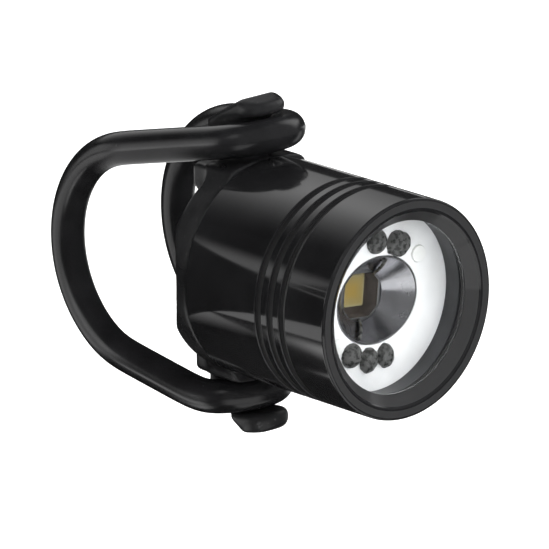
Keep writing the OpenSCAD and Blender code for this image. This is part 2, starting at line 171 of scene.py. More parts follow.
def new_piece(name: str, points: Array, faces: Sequence[Sequence[int]]) -> Piece:
    """Makes one smooth-shaded mesh piece.

    Args:
        name: Name of the piece.
        points: Places of its vertices in millimetres.
        faces: Vertex numbers of each face.

    Returns:
        The piece, in metres.
    """
    mesh = bpy.data.meshes.new(name)
    mesh.from_pydata((points * MM).tolist(), [], faces)
    skin = bmesh.new()
    skin.from_mesh(mesh)
    bmesh.ops.recalc_face_normals(skin, faces=skin.faces)
    skin.to_mesh(mesh)
    skin.free()
    mesh.shade_smooth()
    made = bpy.data.objects.new(name, mesh)
    bpy.context.scene.collection.objects.link(made)
    return made


def loft(name: str, rings: Array, closed: bool) -> Piece:
    """Joins rings of points into one mesh.

    Args:
        name: Name of the piece.
        rings: Points in millimetres, as rings by points by three.
        closed: True if the last ring joins the first, and False if both ends are filled.

    Returns:
        The piece, with flat faces shaded flat and rounds shaded smooth.
    """
    number = np.arange(rings.shape[0] * rings.shape[1]).reshape(rings.shape[:2])
    here = number if closed else number[:-1]
    there = np.roll(number, -1, axis=0) if closed else number[1:]
    quads = np.stack([here, np.roll(here, -1, 1), np.roll(there, -1, 1), there], -1)
    faces = quads.reshape(-1, 4).tolist()
    if not closed:
        faces += [number[0][::-1].tolist(), number[-1].tolist()]
    made = new_piece(name, rings.reshape(-1, 3), faces)
    made.modifiers.new("flats", "WEIGHTED_NORMAL")
    return made


@dataclass(frozen=True)
class Corner:
    """One corner of a turned outline."""

    ahead: float
    radius: float
    fillet: float = 0.0


def rounded(corners: Sequence[Corner], closed: bool = True, steps: int = 6) -> Array:
    """Rounds the corners of an outline with arcs.

    Args:
        corners: The outline's corners in order.
        closed: Whether the last corner joins the first.
        steps: Number of chords in each arc.

    Returns:
        Points of the outline, as distance ahead and radius.
    """
    places = np.array([(c.ahead, c.radius) for c in corners])
    points = []
    for i, corner in enumerate(corners):
        here = places[i]
        at_end = not closed and i in (0, len(corners) - 1)
        if corner.fillet <= 0 or at_end:
            points.append(here)
            continue
        before = places[i - 1] - here
        after = places[(i + 1) % len(places)] - here
        reach = min(np.linalg.norm(before), np.linalg.norm(after)) / 2
        before = before / np.linalg.norm(before)
        after = after / np.linalg.norm(after)
        half = math.acos(np.clip(before @ after, -1, 1)) / 2
        cut = min(corner.fillet / math.tan(half), reach)
        middle = before + after
        centre = here + middle / np.linalg.norm(middle) * cut / math.cos(half)
        start = here + before * cut - centre
        end = here + after * cut - centre
        first = math.atan2(start[1], start[0])
        sweep = (math.atan2(end[1], end[0]) - first + math.pi) % (2 * math.pi) - math.pi
        size = np.linalg.norm(start)
        for k in range(steps + 1):
            turn = first + sweep * k / steps
            points.append(centre + size * np.array([math.cos(turn), math.sin(turn)]))
    return np.array(points)


@dataclass(frozen=True)
class Thread:
    """Helical ridges along a straight stretch of a turned outline."""

    start: float
    end: float
    radius: float
    depth: float
    pitch: float = 1.0
    rows: int = 10
    flank: float = 2.2
    crest: float = 0.6

    def insert(self, outline: Array) -> Array:
        """Adds points along the threaded stretch of a closed outline."""
        points = []
        for here, there in zip(outline, np.roll(outline, -1, axis=0)):
            points.append(here)
            on_thread = np.allclose([here[1], there[1]], self.radius, atol=1e-3)
            if on_thread and abs(there[0] - here[0]) > self.pitch:
                count = int(abs(there[0] - here[0]) / self.pitch * self.rows)
                points += [here + (there - here) * k / count for k in range(1, count)]
        return np.array(points)

    def cut(self, ahead: Array, radius: Array, turn: Array) -> Array:
        """Moves the points of the threaded stretch onto the ridges.

        Args:
            ahead: Distance ahead of each point.
            radius: Radius of each point.
            turn: Angle of each point about the axis.

        Returns:
            The new radii. A positive depth cuts outwards, into a nut's wall.
        """
        phase = (ahead / self.pitch - turn / (2 * math.pi)) % 1
        valley = np.clip(self.flank * np.abs(2 * phase - 1) - self.crest, 0, 1)
        runout = np.clip(np.minimum(ahead - self.start, self.end - ahead) / self.pitch, 0, 1)
        threaded = np.isclose(radius, self.radius, atol=1e-3)
        return radius + np.where(threaded, self.depth * valley * runout, 0)


def lathe(
    name: str, outline: Array, closed: bool = True, thread: Thread | None = None,
    steps: int = ROUND_STEPS,
) -> Piece:
    """Turns an outline about the light's axis.

    Args:
        name: Name of the piece.
        outline: Points as distance ahead and radius.
        closed: True for a ring, and False for a disc whose outline ends near the axis.
        thread: Ridges to cut along the outline, if any.
        steps: Number of points round the axis.

    Returns:
        The turned piece.
    """
    if thread:
        outline = thread.insert(outline)
    turn = circle(steps)[None, :]
    ahead, radius = outline[:, :1], outline[:, 1:]
    if thread:
        radius = thread.cut(ahead, radius, turn)
    return loft(name, about_axis(ahead, radius, turn), closed)


def ring_outline(back: float, front: float, outer: float, inner: float, fillet: float) -> Array:
    """Outline of a plain ring with four equal rounds."""
    corners = [(back, inner), (back, outer), (front, outer), (front, inner)]
    return rounded([Corner(ahead, radius, fillet) for ahead, radius in corners])


def union(a: Array, b: Array, blend: float) -> Array:
    """Joins two distance fields with a fillet."""
    mix = np.clip(0.5 + 0.5 * (b - a) / blend, 0, 1)
    return b * (1 - mix) + a * mix - blend * mix * (1 - mix)


def meet(fields: Sequence[Array], blend: float) -> Array:
    """Common part of several distance fields, with rounded edges."""
    result = fields[0]
    for other in fields[1:]:
        result = -union(-result, -other, blend)
    return result


def slope(s: Array, z: Array, start: Sequence[float], end: Sequence[float]) -> Array:
    """Distance above the line from start to end, both given as distance ahead and height."""
    run, rise = end[0] - start[0], end[1] - start[1]
    return ((z - start[1]) * run - (s - start[0]) * rise) / math.hypot(run, rise)


Field = Callable[[Array, Array, Array], Array]


def moulded(
    name: str, shape: Field, low: Sequence[float], high: Sequence[float], cell: float,
    passes: int = 4, least_tilt: float = 0.1,
) -> Piece:
    """Makes a skin round the inside of a distance field.

    Args:
        name: Name of the piece.
        shape: Field of x, distance ahead and height, negative inside.
        low: Lowest x, distance ahead and height of the room that holds the piece.
        high: Highest x, distance ahead and height of that room.
        cell: Size of the grid's cells.
        passes: How often the vertices are drawn onto the surface.
        least_tilt: Least square of the field's tilt that a vertex is moved by.

    Returns:
        The piece, whose vertices lie on the field's surface.
    """
    axes = [np.arange(a, b + cell, cell) for a, b in zip(low, high)]
    grid = np.stack(np.meshgrid(*axes, indexing="ij"), -1)
    value = shape(*np.moveaxis(grid, -1, 0))
    total = np.zeros([n - 1 for n in value.shape] + [3])
    crossings = np.zeros(total.shape[:3])
    quads = []
    for axis in range(3):
        first = [slice(None)] * 3
        second = [slice(None)] * 3
        first[axis], second[axis] = slice(None, -1), slice(1, None)
        a, b = value[tuple(first)], value[tuple(second)]
        crossed = (a < 0) != (b < 0)
        share = np.where(crossed, a / np.where(crossed, a - b, 1), 0)
        place = grid[tuple(first)].copy()
        place[..., axis] += share * cell
        others = [k for k in range(3) if k != axis]
        for shifts in ((0, 0), (0, 1), (1, 0), (1, 1)):
            window = [slice(None)] * 3
            for k, shift in zip(others, shifts):
                window[k] = slice(shift, value.shape[k] - 1 + shift)
            hit = crossed[tuple(window)]
            total += place[tuple(window)] * hit[..., None]
            crossings += hit
        inner = [slice(1, -1)] * 3
        inner[axis] = slice(None)
        where = np.argwhere(crossed[tuple(inner)])
        where[:, others] += 1
        steps = np.zeros((4, 3), int)
        steps[:, others] = [(-1, -1), (0, -1), (0, 0), (-1, 0)]
        quads.append(where[:, None, :] + steps[None])
    used = crossings > 0
    number = np.cumsum(used).reshape(used.shape) - 1
    points = total[used] / crossings[used][:, None]
    corners = np.concatenate(quads)
    faces = number[corners[..., 0], corners[..., 1], corners[..., 2]]
    nudge = cell / 10
    for _ in range(passes):
        level = shape(*points.T)
        tilt = np.stack([
            (shape(*(points + step).T) - shape(*(points - step).T)) / (2 * nudge)
            for step in np.eye(3) * nudge
        ], -1)
        points -= (level / np.maximum((tilt**2).sum(1), least_tilt))[:, None] * tilt
    points[:, 1] *= -1
    return new_piece(name, points, faces.tolist())


@dataclass(frozen=True)
class Span:
    """Room that a node of the frame takes along the light's axis, in millimetres."""

    back: float
    front: float
    radius: float

    @classmethod
    def of(cls, node: str) -> "Span":
        """Reads the room of one node."""
        low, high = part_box(node)
        return cls(-high.y / MM, -low.y / MM, high.x / MM)


# Shader nodes


class Graph:
    """Adds nodes to one node tree."""

    def __init__(self, tree: bpy.types.NodeTree) -> None:
        """Starts from an empty tree."""
        self.tree = tree
        tree.nodes.clear()

    def add(self, kind: str, sockets: dict | None = None, **settings: object) -> bpy.types.Node:
        """Adds one node.

        Args:
            kind: Name of the node's type, without its Shader Node prefix.
            sockets: Values or links for its inputs, by name or number.
            **settings: Properties of the node.

        Returns:
            The new node.
        """
        prefix = "" if kind.startswith("NodeGroup") else "ShaderNode"
        node = self.tree.nodes.new(prefix + kind)
        for name, value in settings.items():
            setattr(node, name, value)
        for name, value in (sockets or {}).items():
            if isinstance(value, Socket):
                self.tree.links.new(value, node.inputs[name])
            else:
                node.inputs[name].default_value = value
        return node

    def place(self) -> Socket:
        """Place of the shaded point on its own piece."""
        return self.add("TexCoord").outputs["Object"]

    def noise(self, scale: object, detail: float = 3.0) -> Socket:
        """Smooth noise that is fixed to the piece."""
        sockets = {"Vector": self.place(), "Scale": scale, "Detail": detail}
        return self.add("TexNoise", sockets).outputs["Fac"]

    def level(self, value: object, low: object, high: object) -> Socket:
        """Eases a value from 0 at its low level to 1 at its high level."""
        sockets = {"Value": value, "From Min": low, "From Max": high}
        return self.add("MapRange", sockets, interpolation_type="SMOOTHSTEP").outputs["Result"]

    def between(self, share: object, low: float, high: float) -> Socket:
        """Value that goes from low to high as the share goes from 0 to 1."""
        return self.add("MapRange", {"Value": share, "To Min": low, "To Max": high}).outputs["Result"]

    def math(self, operation: str, a: object, b: object = 0.0) -> Socket:
        """Result of one sum."""
        return self.add("Math", {0: a, 1: b}, operation=operation).outputs[0]

    def times(self, a: object, b: object) -> Socket:
        """Product of two values."""
        return self.math("MULTIPLY", a, b)

    def apart(self, vector: Socket) -> Outputs:
        """The three values of a vector."""
        return self.add("SeparateXYZ", {"Vector": vector}).outputs

    def surface(self, shader: bpy.types.Node, kind: str = "Material") -> None:
        """Ends the tree with its surface."""
        self.add("Output" + kind, {"Surface": shader.outputs[0]})

    def mix(self, share: object, a: object, b: object) -> Socket:
        """Colour that goes from a to b as the share goes from 0 to 1."""
        sockets = {"Factor": share, 6: solid(a), 7: solid(b)}
        return self.add("Mix", sockets, data_type="RGBA").outputs[2]


def solid(colour: object) -> object:
    """Adds full opacity to a plain colour, and leaves a socket as it is."""
    return (*colour, 1.0) if isinstance(colour, tuple) and len(colour) == 3 else colour


def new_material(name: str) -> tuple[bpy.types.Material, Graph]:
    """Makes one material and the empty graph of its nodes."""
    made = bpy.data.materials.new(name)
    made.use_nodes = True
    return made, Graph(made.node_tree)


class Effects:
    """Node groups for the shared surface effects, each built once."""

    patch_levels: Pair = (0.3, 0.7)
    fine_scale: float = 3.6
    fine_share: float = 0.5
    edge_levels: Pair = (0.52, 0.6)
    rub_levels: Pair = (0.4, 0.6)
    speck_levels: Pair = (0.68, 0.76)

    def __init__(self) -> None:
        """Builds every group."""
        self.groups: dict[Effect, bpy.types.NodeTree] = {}
        for build in (self.mottle, self.grain, self.turning, self.wear, self.dust):
            build()

    def start(
        self, effect: Effect, inputs: dict[str, str], outputs: dict[str, str]
    ) -> tuple[Graph, Outputs]:
        """Starts one group.

        Args:
            effect: The effect that it makes.
            inputs: Name and kind of each input.
            outputs: Name and kind of each output.

        Returns:
            The graph of its nodes, and the inputs to link from.
        """
        tree = bpy.data.node_groups.new(effect.value, "ShaderNodeTree")
        self.groups[effect] = tree
        for way, names in (("INPUT", inputs), ("OUTPUT", outputs)):
            for name, kind in names.items():
                tree.interface.new_socket(name, in_out=way, socket_type="NodeSocket" + kind)
        graph = Graph(tree)
        return graph, graph.add("NodeGroupInput").outputs

    def mottle(self) -> None:
        """Patches that drift between two tones."""
        inputs = {"Dark": "Color", "Light": "Color", "Scale": "Float"}
        graph, given = self.start(Effect.MOTTLE, inputs, {"Colour": "Color", "Mask": "Float"})
        mask = graph.level(graph.noise(given["Scale"], detail=6.0), *self.patch_levels)
        colour = graph.mix(mask, given["Dark"], given["Light"])
        graph.add("NodeGroupOutput", {"Colour": colour, "Mask": mask})

    def grain(self) -> None:
        """Fine moulded texture in two sizes."""
        graph, given = self.start(Effect.GRAIN, {"Scale": "Float"}, {"Height": "Float"})
        fine = graph.noise(graph.times(given["Scale"], self.fine_scale))
        height = graph.math("ADD", graph.noise(given["Scale"]), graph.times(fine, self.fine_share))
        graph.add("NodeGroupOutput", {"Height": height})

    def turning(self) -> None:
        """Fine lines that a lathe leaves round the axis."""
        graph, given = self.start(Effect.TURNING, {"Scale": "Float"}, {"Height": "Float"})
        along = graph.apart(graph.place())["Y"]
        lines = graph.add("TexNoise", {"W": along, "Scale": given["Scale"]}, noise_dimensions="1D")
        graph.add("NodeGroupOutput", {"Height": lines.outputs["Fac"]})

    def wear(self) -> None:
        """Rubbed patches along outer edges."""
        graph, given = self.start(Effect.WEAR, {"Scale": "Float", "Amount": "Float"}, {"Mask": "Float"})
        edge = graph.level(graph.add("NewGeometry").outputs["Pointiness"], *self.edge_levels)
        rubbed = graph.level(graph.noise(given["Scale"], detail=5.0), *self.rub_levels)
        rubbed = graph.times(edge, rubbed)
        graph.add("NodeGroupOutput", {"Mask": graph.times(rubbed, given["Amount"])})

    def dust(self) -> None:
        """Sparse pale specks."""
        graph, given = self.start(Effect.DUST, {"Scale": "Float", "Amount": "Float"}, {"Mask": "Float"})
        specks = graph.level(graph.noise(given["Scale"], detail=2.0), *self.speck_levels)
        graph.add("NodeGroupOutput", {"Mask": graph.times(specks, given["Amount"])})

    def use(self, graph: Graph, effect: Effect, **sockets: object) -> Outputs:
        """Places an effect in a material.

        Args:
            graph: Nodes of the material.
            effect: Which effect to place.
            **sockets: The material's own values for it.

        Returns:
            The effect's outputs.
        """
        node = graph.add("Group")
        node.node_tree = self.groups[effect]
        for name, value in sockets.items():
            node.inputs[name].default_value = solid(value)
        return node.outputs


@dataclass(frozen=True)
class Finish:
    """Surface of one kind of material. Scales are per metre, and depths are millimetres."""

    dark: Colour
    light: Colour
    rough: Pair
    metallic: float = 0.0
    specular: float = 0.5
    coat: float = 0.0
    patches: float = 250.0
    grain: float = 3000.0
    depth: float = 0.01
    turned: float = 0.0
    wear: Colour | None = None
    worn: float = 0.6
    dust: float = 0.0
    coat_rough: float = 0.05
    wear_scale: float = 2500.0
    line_scale: float = 9000.0
    dust_scale: float = 2200.0
    dust_tone: Colour = (0.32, 0.31, 0.3)
    dust_rough: float = 0.4

    def material(self, name: str, effects: Effects) -> bpy.types.Material:
        """Builds the material.

        Args:
            name: Name of the material.
            effects: The shared node groups.

        Returns:
            The new material.
        """
        made, graph = new_material(name)
        tone = effects.use(graph, Effect.MOTTLE, Dark=self.dark, Light=self.light, Scale=self.patches)
        colour = self.tint(graph, tone)
        if self.wear:
            mask = effects.use(graph, Effect.WEAR, Scale=self.wear_scale, Amount=self.worn)["Mask"]
            colour = graph.mix(mask, colour, self.wear)
        roughness = self.sheen(graph, graph.between(tone["Mask"], *self.rough))
        if self.dust:
            mask = effects.use(graph, Effect.DUST, Scale=self.dust_scale, Amount=self.dust)["Mask"]
            colour = graph.mix(mask, colour, self.dust_tone)
            roughness = graph.math("ADD", roughness, graph.times(mask, self.dust_rough))
        height = effects.use(graph, Effect.GRAIN, Scale=self.grain)["Height"]
        if self.turned:
            lines = effects.use(graph, Effect.TURNING, Scale=self.line_scale)["Height"]
            height = graph.math("ADD", height, graph.times(lines, self.turned))
        bump = graph.add("Bump", {"Height": height, "Strength": 1.0, "Distance": self.depth * MM})
        shader = graph.add("BsdfPrincipled", {
            "Base Color": colour, "Roughness": roughness, "Metallic": self.metallic,
            "Normal": bump.outputs[0], "Specular IOR Level": self.specular,
            "Coat Weight": self.lacquer(graph), "Coat Roughness": self.coat_rough,
        })
        graph.surface(shader)
        return made

    def tint(self, graph: Graph, tone: Outputs) -> Socket:
        """Colour of the bare surface."""
        return tone["Colour"]

    def sheen(self, graph: Graph, roughness: Socket) -> Socket:
        """Roughness of the bare surface."""
        return roughness

    def lacquer(self, graph: Graph) -> object:
        """Weight of the clear coat."""
        return self.coat


@dataclass(frozen=True)
class TurnedFinish(Finish):
    """Gloss black of the barrel and the bezel, with a satin rim and lip round the lens."""

    lip_tone: Colour = (0.0145, 0.0145, 0.015)
    lip_rough: float = 0.5
    lip_back: float = 41.1
    rim_r: float = 14.9
    line_r: float = 13.65
    line_half: float = 0.27
    groove_r: Pair = (14.5, 15.18)
    groove_front: float = 36.0
    groove_rough: float = 0.6

    def masks(self, graph: Graph) -> tuple[Socket, Socket]:
        """Masks of the rim with its lip, apart from the line between them, and of the grooves."""
        apart = graph.apart(graph.place())
        across = graph.times(apart["X"], apart["X"])
        up = graph.times(apart["Z"], apart["Z"])
        radius = graph.math("SQRT", graph.math("ADD", across, up))
        off = graph.math("ABSOLUTE", graph.math("SUBTRACT", radius, self.line_r * MM))
        off = graph.math("GREATER_THAN", off, self.line_half * MM)
        front = graph.math("LESS_THAN", apart["Y"], -self.lip_back * MM)
        rim = graph.times(front, graph.math("LESS_THAN", radius, self.rim_r * MM))
        low, high = self.groove_r
        above = graph.math("GREATER_THAN", radius, low * MM)
        groove = graph.times(above, graph.math("LESS_THAN", radius, high * MM))
        behind = graph.math("GREATER_THAN", apart["Y"], -self.groove_front * MM)
        return graph.times(rim, off), graph.times(groove, behind)

    def tint(self, graph: Graph, tone: Outputs) -> Socket:
        """Colour that is paler on the rim and the lip."""
        return graph.mix(self.masks(graph)[0], tone["Colour"], self.lip_tone)

    def sheen(self, graph: Graph, roughness: Socket) -> Socket:
        """Roughness that is greater on the rim, the lip and the grooves."""
        lip, groove = self.masks(graph)
        rougher = graph.math("MAXIMUM", roughness, graph.times(lip, self.lip_rough))
        return graph.math("MAXIMUM", rougher, graph.times(groove, self.groove_rough))

    def lacquer(self, graph: Graph) -> object:
        """Clear coat, which leaves the grooves bare."""
        bare = graph.math("SUBTRACT", 1.0, self.masks(graph)[1])
        return graph.times(bare, self.coat)


@dataclass(frozen=True)
class PhosphorFinish(Finish):
    """Yellow square of the emitter, warmer in the middle and paler along its border."""

    middle: Colour = (0.29, 0.195, 0.04)
    border: Colour = (0.29, 0.25, 0.13)
    half: float = 2.25
    lift: float = 0.2
    turn: float = 6.0
    warm_levels: Pair = (0.15, 0.75)
    border_levels: Pair = (0.78, 0.92)

    def tint(self, graph: Graph, tone: Outputs) -> Socket:
        """Colour that changes from the middle of the square to its border."""
        lowered = graph.add("VectorMath", {0: graph.place(), 1: (0, 0, -self.lift * MM)})
        square = graph.add("VectorRotate", {
            "Vector": lowered.outputs[0], "Axis": (0, 1, 0), "Angle": -math.radians(self.turn),
        })
        apart = graph.apart(square.outputs[0])
        across = graph.math("ABSOLUTE", apart["X"])
        up = graph.math("ABSOLUTE", apart["Z"])
        out = graph.math("DIVIDE", graph.math("MAXIMUM", across, up), self.half * MM)
        warm = graph.mix(graph.level(out, *self.warm_levels), self.middle, tone["Colour"])
        return graph.mix(graph.level(out, *self.border_levels), warm, self.border)


@dataclass(frozen=True)
class LensFinish(Finish):
    """Clear lens that lets light through to what is behind it."""

    index: float = 1.45
    dust_scale: float = 2600.0
    smear_rough: float = 0.3
    clear: Colour = (0.96, 0.97, 0.98)

    def material(self, name: str, effects: Effects) -> bpy.types.Material:
        """Builds the clear material.

        Args:
            name: Name of the material.
            effects: The shared node groups.

        Returns:
            The new material.
        """
        made, graph = new_material(name)
        tone = effects.use(graph, Effect.MOTTLE, Dark=self.dark, Light=self.light, Scale=self.patches)
        smear = effects.use(graph, Effect.DUST, Scale=self.dust_scale, Amount=self.dust)["Mask"]
        glass = graph.add("BsdfPrincipled", {
            "Base Color": tone["Colour"], "Roughness": graph.times(smear, self.smear_rough),
            "IOR": self.index, "Metallic": 0.0, "Transmission Weight": 1.0,
        })
        path = graph.add("LightPath").outputs
        passing = graph.math("MAXIMUM", path["Is Shadow Ray"], path["Is Diffuse Ray"])
        through = graph.add("BsdfTransparent", {"Color": solid(self.clear)})
        mixed = graph.add("MixShader", {0: passing, 1: glass.outputs[0], 2: through.outputs[0]})
        graph.surface(mixed)
        return made


FINISHES: dict[Slot, Finish] = {
    Slot.MOUNT: Finish((0.005, 0.005, 0.0054), (0.009, 0.009, 0.0096), (0.26, 0.4), specular=0.36,
                       grain=1900.0, depth=0.03, wear=(0.04, 0.04, 0.042), dust=0.1),
    Slot.STRAP: Finish((0.0045, 0.0045, 0.0048), (0.007, 0.007, 0.0076), (0.19, 0.27), grain=2600.0,
                       depth=0.006, dust=0.02),
    Slot.SEAL: Finish((0.015, 0.015, 0.015), (0.028, 0.028, 0.028), (0.5, 0.65), depth=0.02),
    Slot.BLACK: TurnedFinish((0.0045, 0.0045, 0.0048), (0.007, 0.007, 0.0074), (0.07, 0.13), coat=0.3,
                             patches=120.0, grain=5000.0, depth=0.0006, turned=0.8),
    Slot.BRASS: Finish((0.5, 0.33, 0.12), (0.66, 0.47, 0.2), (0.25, 0.4), metallic=1.0, turned=1.0),
    Slot.STEEL: Finish((0.5, 0.51, 0.52), (0.64, 0.65, 0.66), (0.22, 0.36), metallic=1.0, turned=0.6),
    Slot.CONTACT: Finish((0.55, 0.52, 0.46), (0.68, 0.66, 0.6), (0.2, 0.34), metallic=1.0),
    Slot.INNER: Finish((0.012, 0.012, 0.013), (0.022, 0.022, 0.024), (0.3, 0.38), depth=0.001),
    Slot.PALE: Finish((0.72, 0.72, 0.69), (0.82, 0.82, 0.79), (0.2, 0.35), depth=0.01),
    Slot.GREEN: Finish((0.01, 0.09, 0.03), (0.02, 0.14, 0.05), (0.2, 0.35), coat=0.3),
    Slot.WHITE: Finish((0.78, 0.78, 0.77), (0.86, 0.86, 0.85), (0.32, 0.45), coat=0.2, depth=0.006),
    Slot.CHIP: Finish((0.018, 0.018, 0.017), (0.11, 0.11, 0.105), (0.2, 0.4), patches=1500.0,
                      grain=1800.0, depth=0.12),
    Slot.LENS: LensFinish((0.97, 0.98, 0.99), (1.0, 1.0, 1.0), (0.0, 0.02), dust=0.05),
    Slot.BRIGHT: Finish((0.7, 0.7, 0.73), (0.82, 0.82, 0.85), (0.2, 0.28), metallic=1.0, depth=0.002),
    Slot.PHOSPHOR: PhosphorFinish((0.25, 0.19, 0.062), (0.3, 0.235, 0.086), (0.35, 0.5), depth=0.02),
    Slot.BROWN: Finish((0.03, 0.023, 0.018), (0.065, 0.052, 0.042), (0.4, 0.55), depth=0.02),
    Slot.BOARD_METAL: Finish((0.6, 0.61, 0.62), (0.72, 0.73, 0.74), (0.3, 0.42), metallic=1.0,
                             turned=0.4),
    Slot.WIRE: Finish((0.36, 0.012, 0.008), (0.5, 0.02, 0.012), (0.3, 0.42)),
}


class Paint:
    """Materials of the part, one for each slot."""

    def __init__(self) -> None:
        """Builds every finish."""
        effects = Effects()
        self.made = {slot: finish.material(slot.value, effects) for slot, finish in FINISHES.items()}

    def coat(self, piece: Piece, slot: Slot) -> None:
        """Gives a piece or node one finish."""
        piece.data.materials.clear()
        piece.data.materials.append(self.made[slot])


@dataclass
class SubAssembly:
    """Pieces that ride on one body."""

    paint: Paint
    body: Body = Body.HOUSING

    def fit(self, piece: Piece, slot: Slot, *nodes: str) -> None:
        """Finishes one new piece and fixes it to the body.

        Args:
            piece: The piece, already in place.
            slot: Its material slot.
            *nodes: Nodes of the frame that it stands for.
        """
        self.paint.coat(piece, slot)
        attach(piece, self.body.value)
        if nodes:
            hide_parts(*nodes)
        faces = len(piece.data.polygons)
        LOG.info("%s: %d faces, %s, on %s", piece.name, faces, slot.value, self.body.value)

    def ring(self, name: str, node: str, slot: Slot, inner: float, edge: float) -> None:
        """Turns a plain ring with round edges in the room of one node."""
        span = Span.of(node)
        outline = ring_outline(span.back, span.front, span.radius, inner, edge)
        self.fit(lathe(name, outline), slot, node)

    def dress(self, node: str, slot: Slot) -> None:
        """Finishes one node that shows as it is."""
        self.paint.coat(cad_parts[node], slot)
        LOG.info("%s: node of the frame, %s", node, slot.value)


# Strap and saddle


def hooks(upper: float, lower: float) -> dict[int, float]:
    """Field with one size for each hook, where 1 is the upper one and -1 the lower one."""
    return field(default_factory=lambda: {1: upper, -1: lower})


@dataclass(frozen=True)
class Seat:
    """Sizes that the saddle and the strap share."""

    bar_r: float = 12.7
    pad_front: float = 15.0
    pad_back: float = 10.5
    pad_r: float = 15.0
    neck_r: float = 3.4
    strap_r: float = 2.4
    gap: float = 0.25
    setback: dict[int, float] = hooks(1.0, 4.0)
    lift: dict[int, float] = hooks(0.4, 1.6)
    tilt: dict[int, float] = hooks(1.2, -0.8)

    def neck(self, up: int) -> float:
        """Distance ahead of the neck's round end, above or below the bar."""
        return self.pad_front - self.neck_r - self.setback[up]

    def loop(self, up: int) -> float:
        """Height of the strap's loop beside the neck."""
        return self.pad_r + self.strap_r + self.lift[up]

    @property
    def wrap_r(self) -> float:
        """Radius of the strap's centre line on the bar."""
        return self.bar_r + self.strap_r + self.gap

    @property
    def turn_r(self) -> float:
        """Radius of the strap's centre line round a neck."""
        return self.neck_r + self.strap_r + self.gap

    def leave(self, up: int) -> float:
        """Angle on the bar where the strap leaves it on a tangent."""
        reach = math.hypot(self.neck(up), self.loop(up))
        return math.atan2(self.loop(up), -self.neck(up)) - math.acos(self.wrap_r / reach)


@dataclass
class Strap(SubAssembly):
    """Elastic ring that passes behind the bar and hooks over both horns."""

    seat: Seat = field(default_factory=Seat)
    strand_x: float = 10.1
    bar_steps: int = 88
    run_steps: int = 32
    turn_steps: int = 48
    easing: int = 32
    sides: int = 40
    seam: float = 0.05
    seam_w: float = 0.1

    def strand(self, side: int) -> Array:
        """Points of one strand on the bar."""
        share = np.arange(self.bar_steps) / self.bar_steps
        turn = side * (self.seat.leave(side) * share - self.seat.leave(-side) * (1 - share))
        x = np.full_like(turn, side * self.strand_x)
        return np.stack([x, self.seat.wrap_r * np.cos(turn), self.seat.wrap_r * np.sin(turn)], -1)

    def run(self, side: int, share: Array, up: int) -> Array:
        """Points of a straight run from the bar to the neck's side."""
        seat = self.seat
        leave = seat.leave(up)
        x = side * (self.strand_x + (seat.turn_r - self.strand_x) * share)
        y = seat.wrap_r * math.cos(leave) * (1 - share) - seat.neck(up) * share
        z = up * (seat.wrap_r * math.sin(leave) * (1 - share) + seat.loop(up) * share)
        return np.stack([x, y, z], -1)

    def loop_end(self, up: int) -> Array:
        """Points from one strand, round the neck, to the other strand."""
        seat = self.seat
        share = np.arange(self.run_steps) / self.run_steps
        turn = math.pi * np.arange(self.turn_steps) / self.turn_steps
        bend = np.stack([
            up * seat.turn_r * np.cos(turn),
            -seat.neck(up) - seat.turn_r * np.sin(turn),
            up * (seat.loop(up) + seat.tilt[up] * np.sin(turn)),
        ], -1)
        return np.concatenate([self.run(up, share, up), bend, self.run(-up, 1 - share, up)])

    def line(self) -> Array:
        """Centre line of the whole ring, with its corners eased."""
        line = np.concatenate([self.strand(1), self.loop_end(1), self.strand(-1), self.loop_end(-1)])
        for _ in range(self.easing):
            line = (np.roll(line, 1, 0) + 2 * line + np.roll(line, -1, 0)) / 4
        return line

    def build(self) -> None:
        """Sweeps a round section with two faint mould seams along the centre line."""
        seat = self.seat
        line = self.line()
        along = np.roll(line, -1, 0) - np.roll(line, 1, 0)
        out = line * (0, 1, 1)
        for up in (1, -1):
            leave = seat.leave(up)
            off_bar = (line[:, 2] * up > 0) & (line[:, 1] < seat.wrap_r * math.cos(leave))
            out[off_bar] = (0, math.cos(leave), up * math.sin(leave))
        seams = np.exp(-((np.cos(circle(self.sides)) / self.seam_w) ** 2))
        radius = seat.strap_r - self.seam * (1 - seams)
        piece = loft("elastic_strap", tube(line, along, out, radius), True)
        self.fit(piece, Slot.STRAP, "strap_ring")


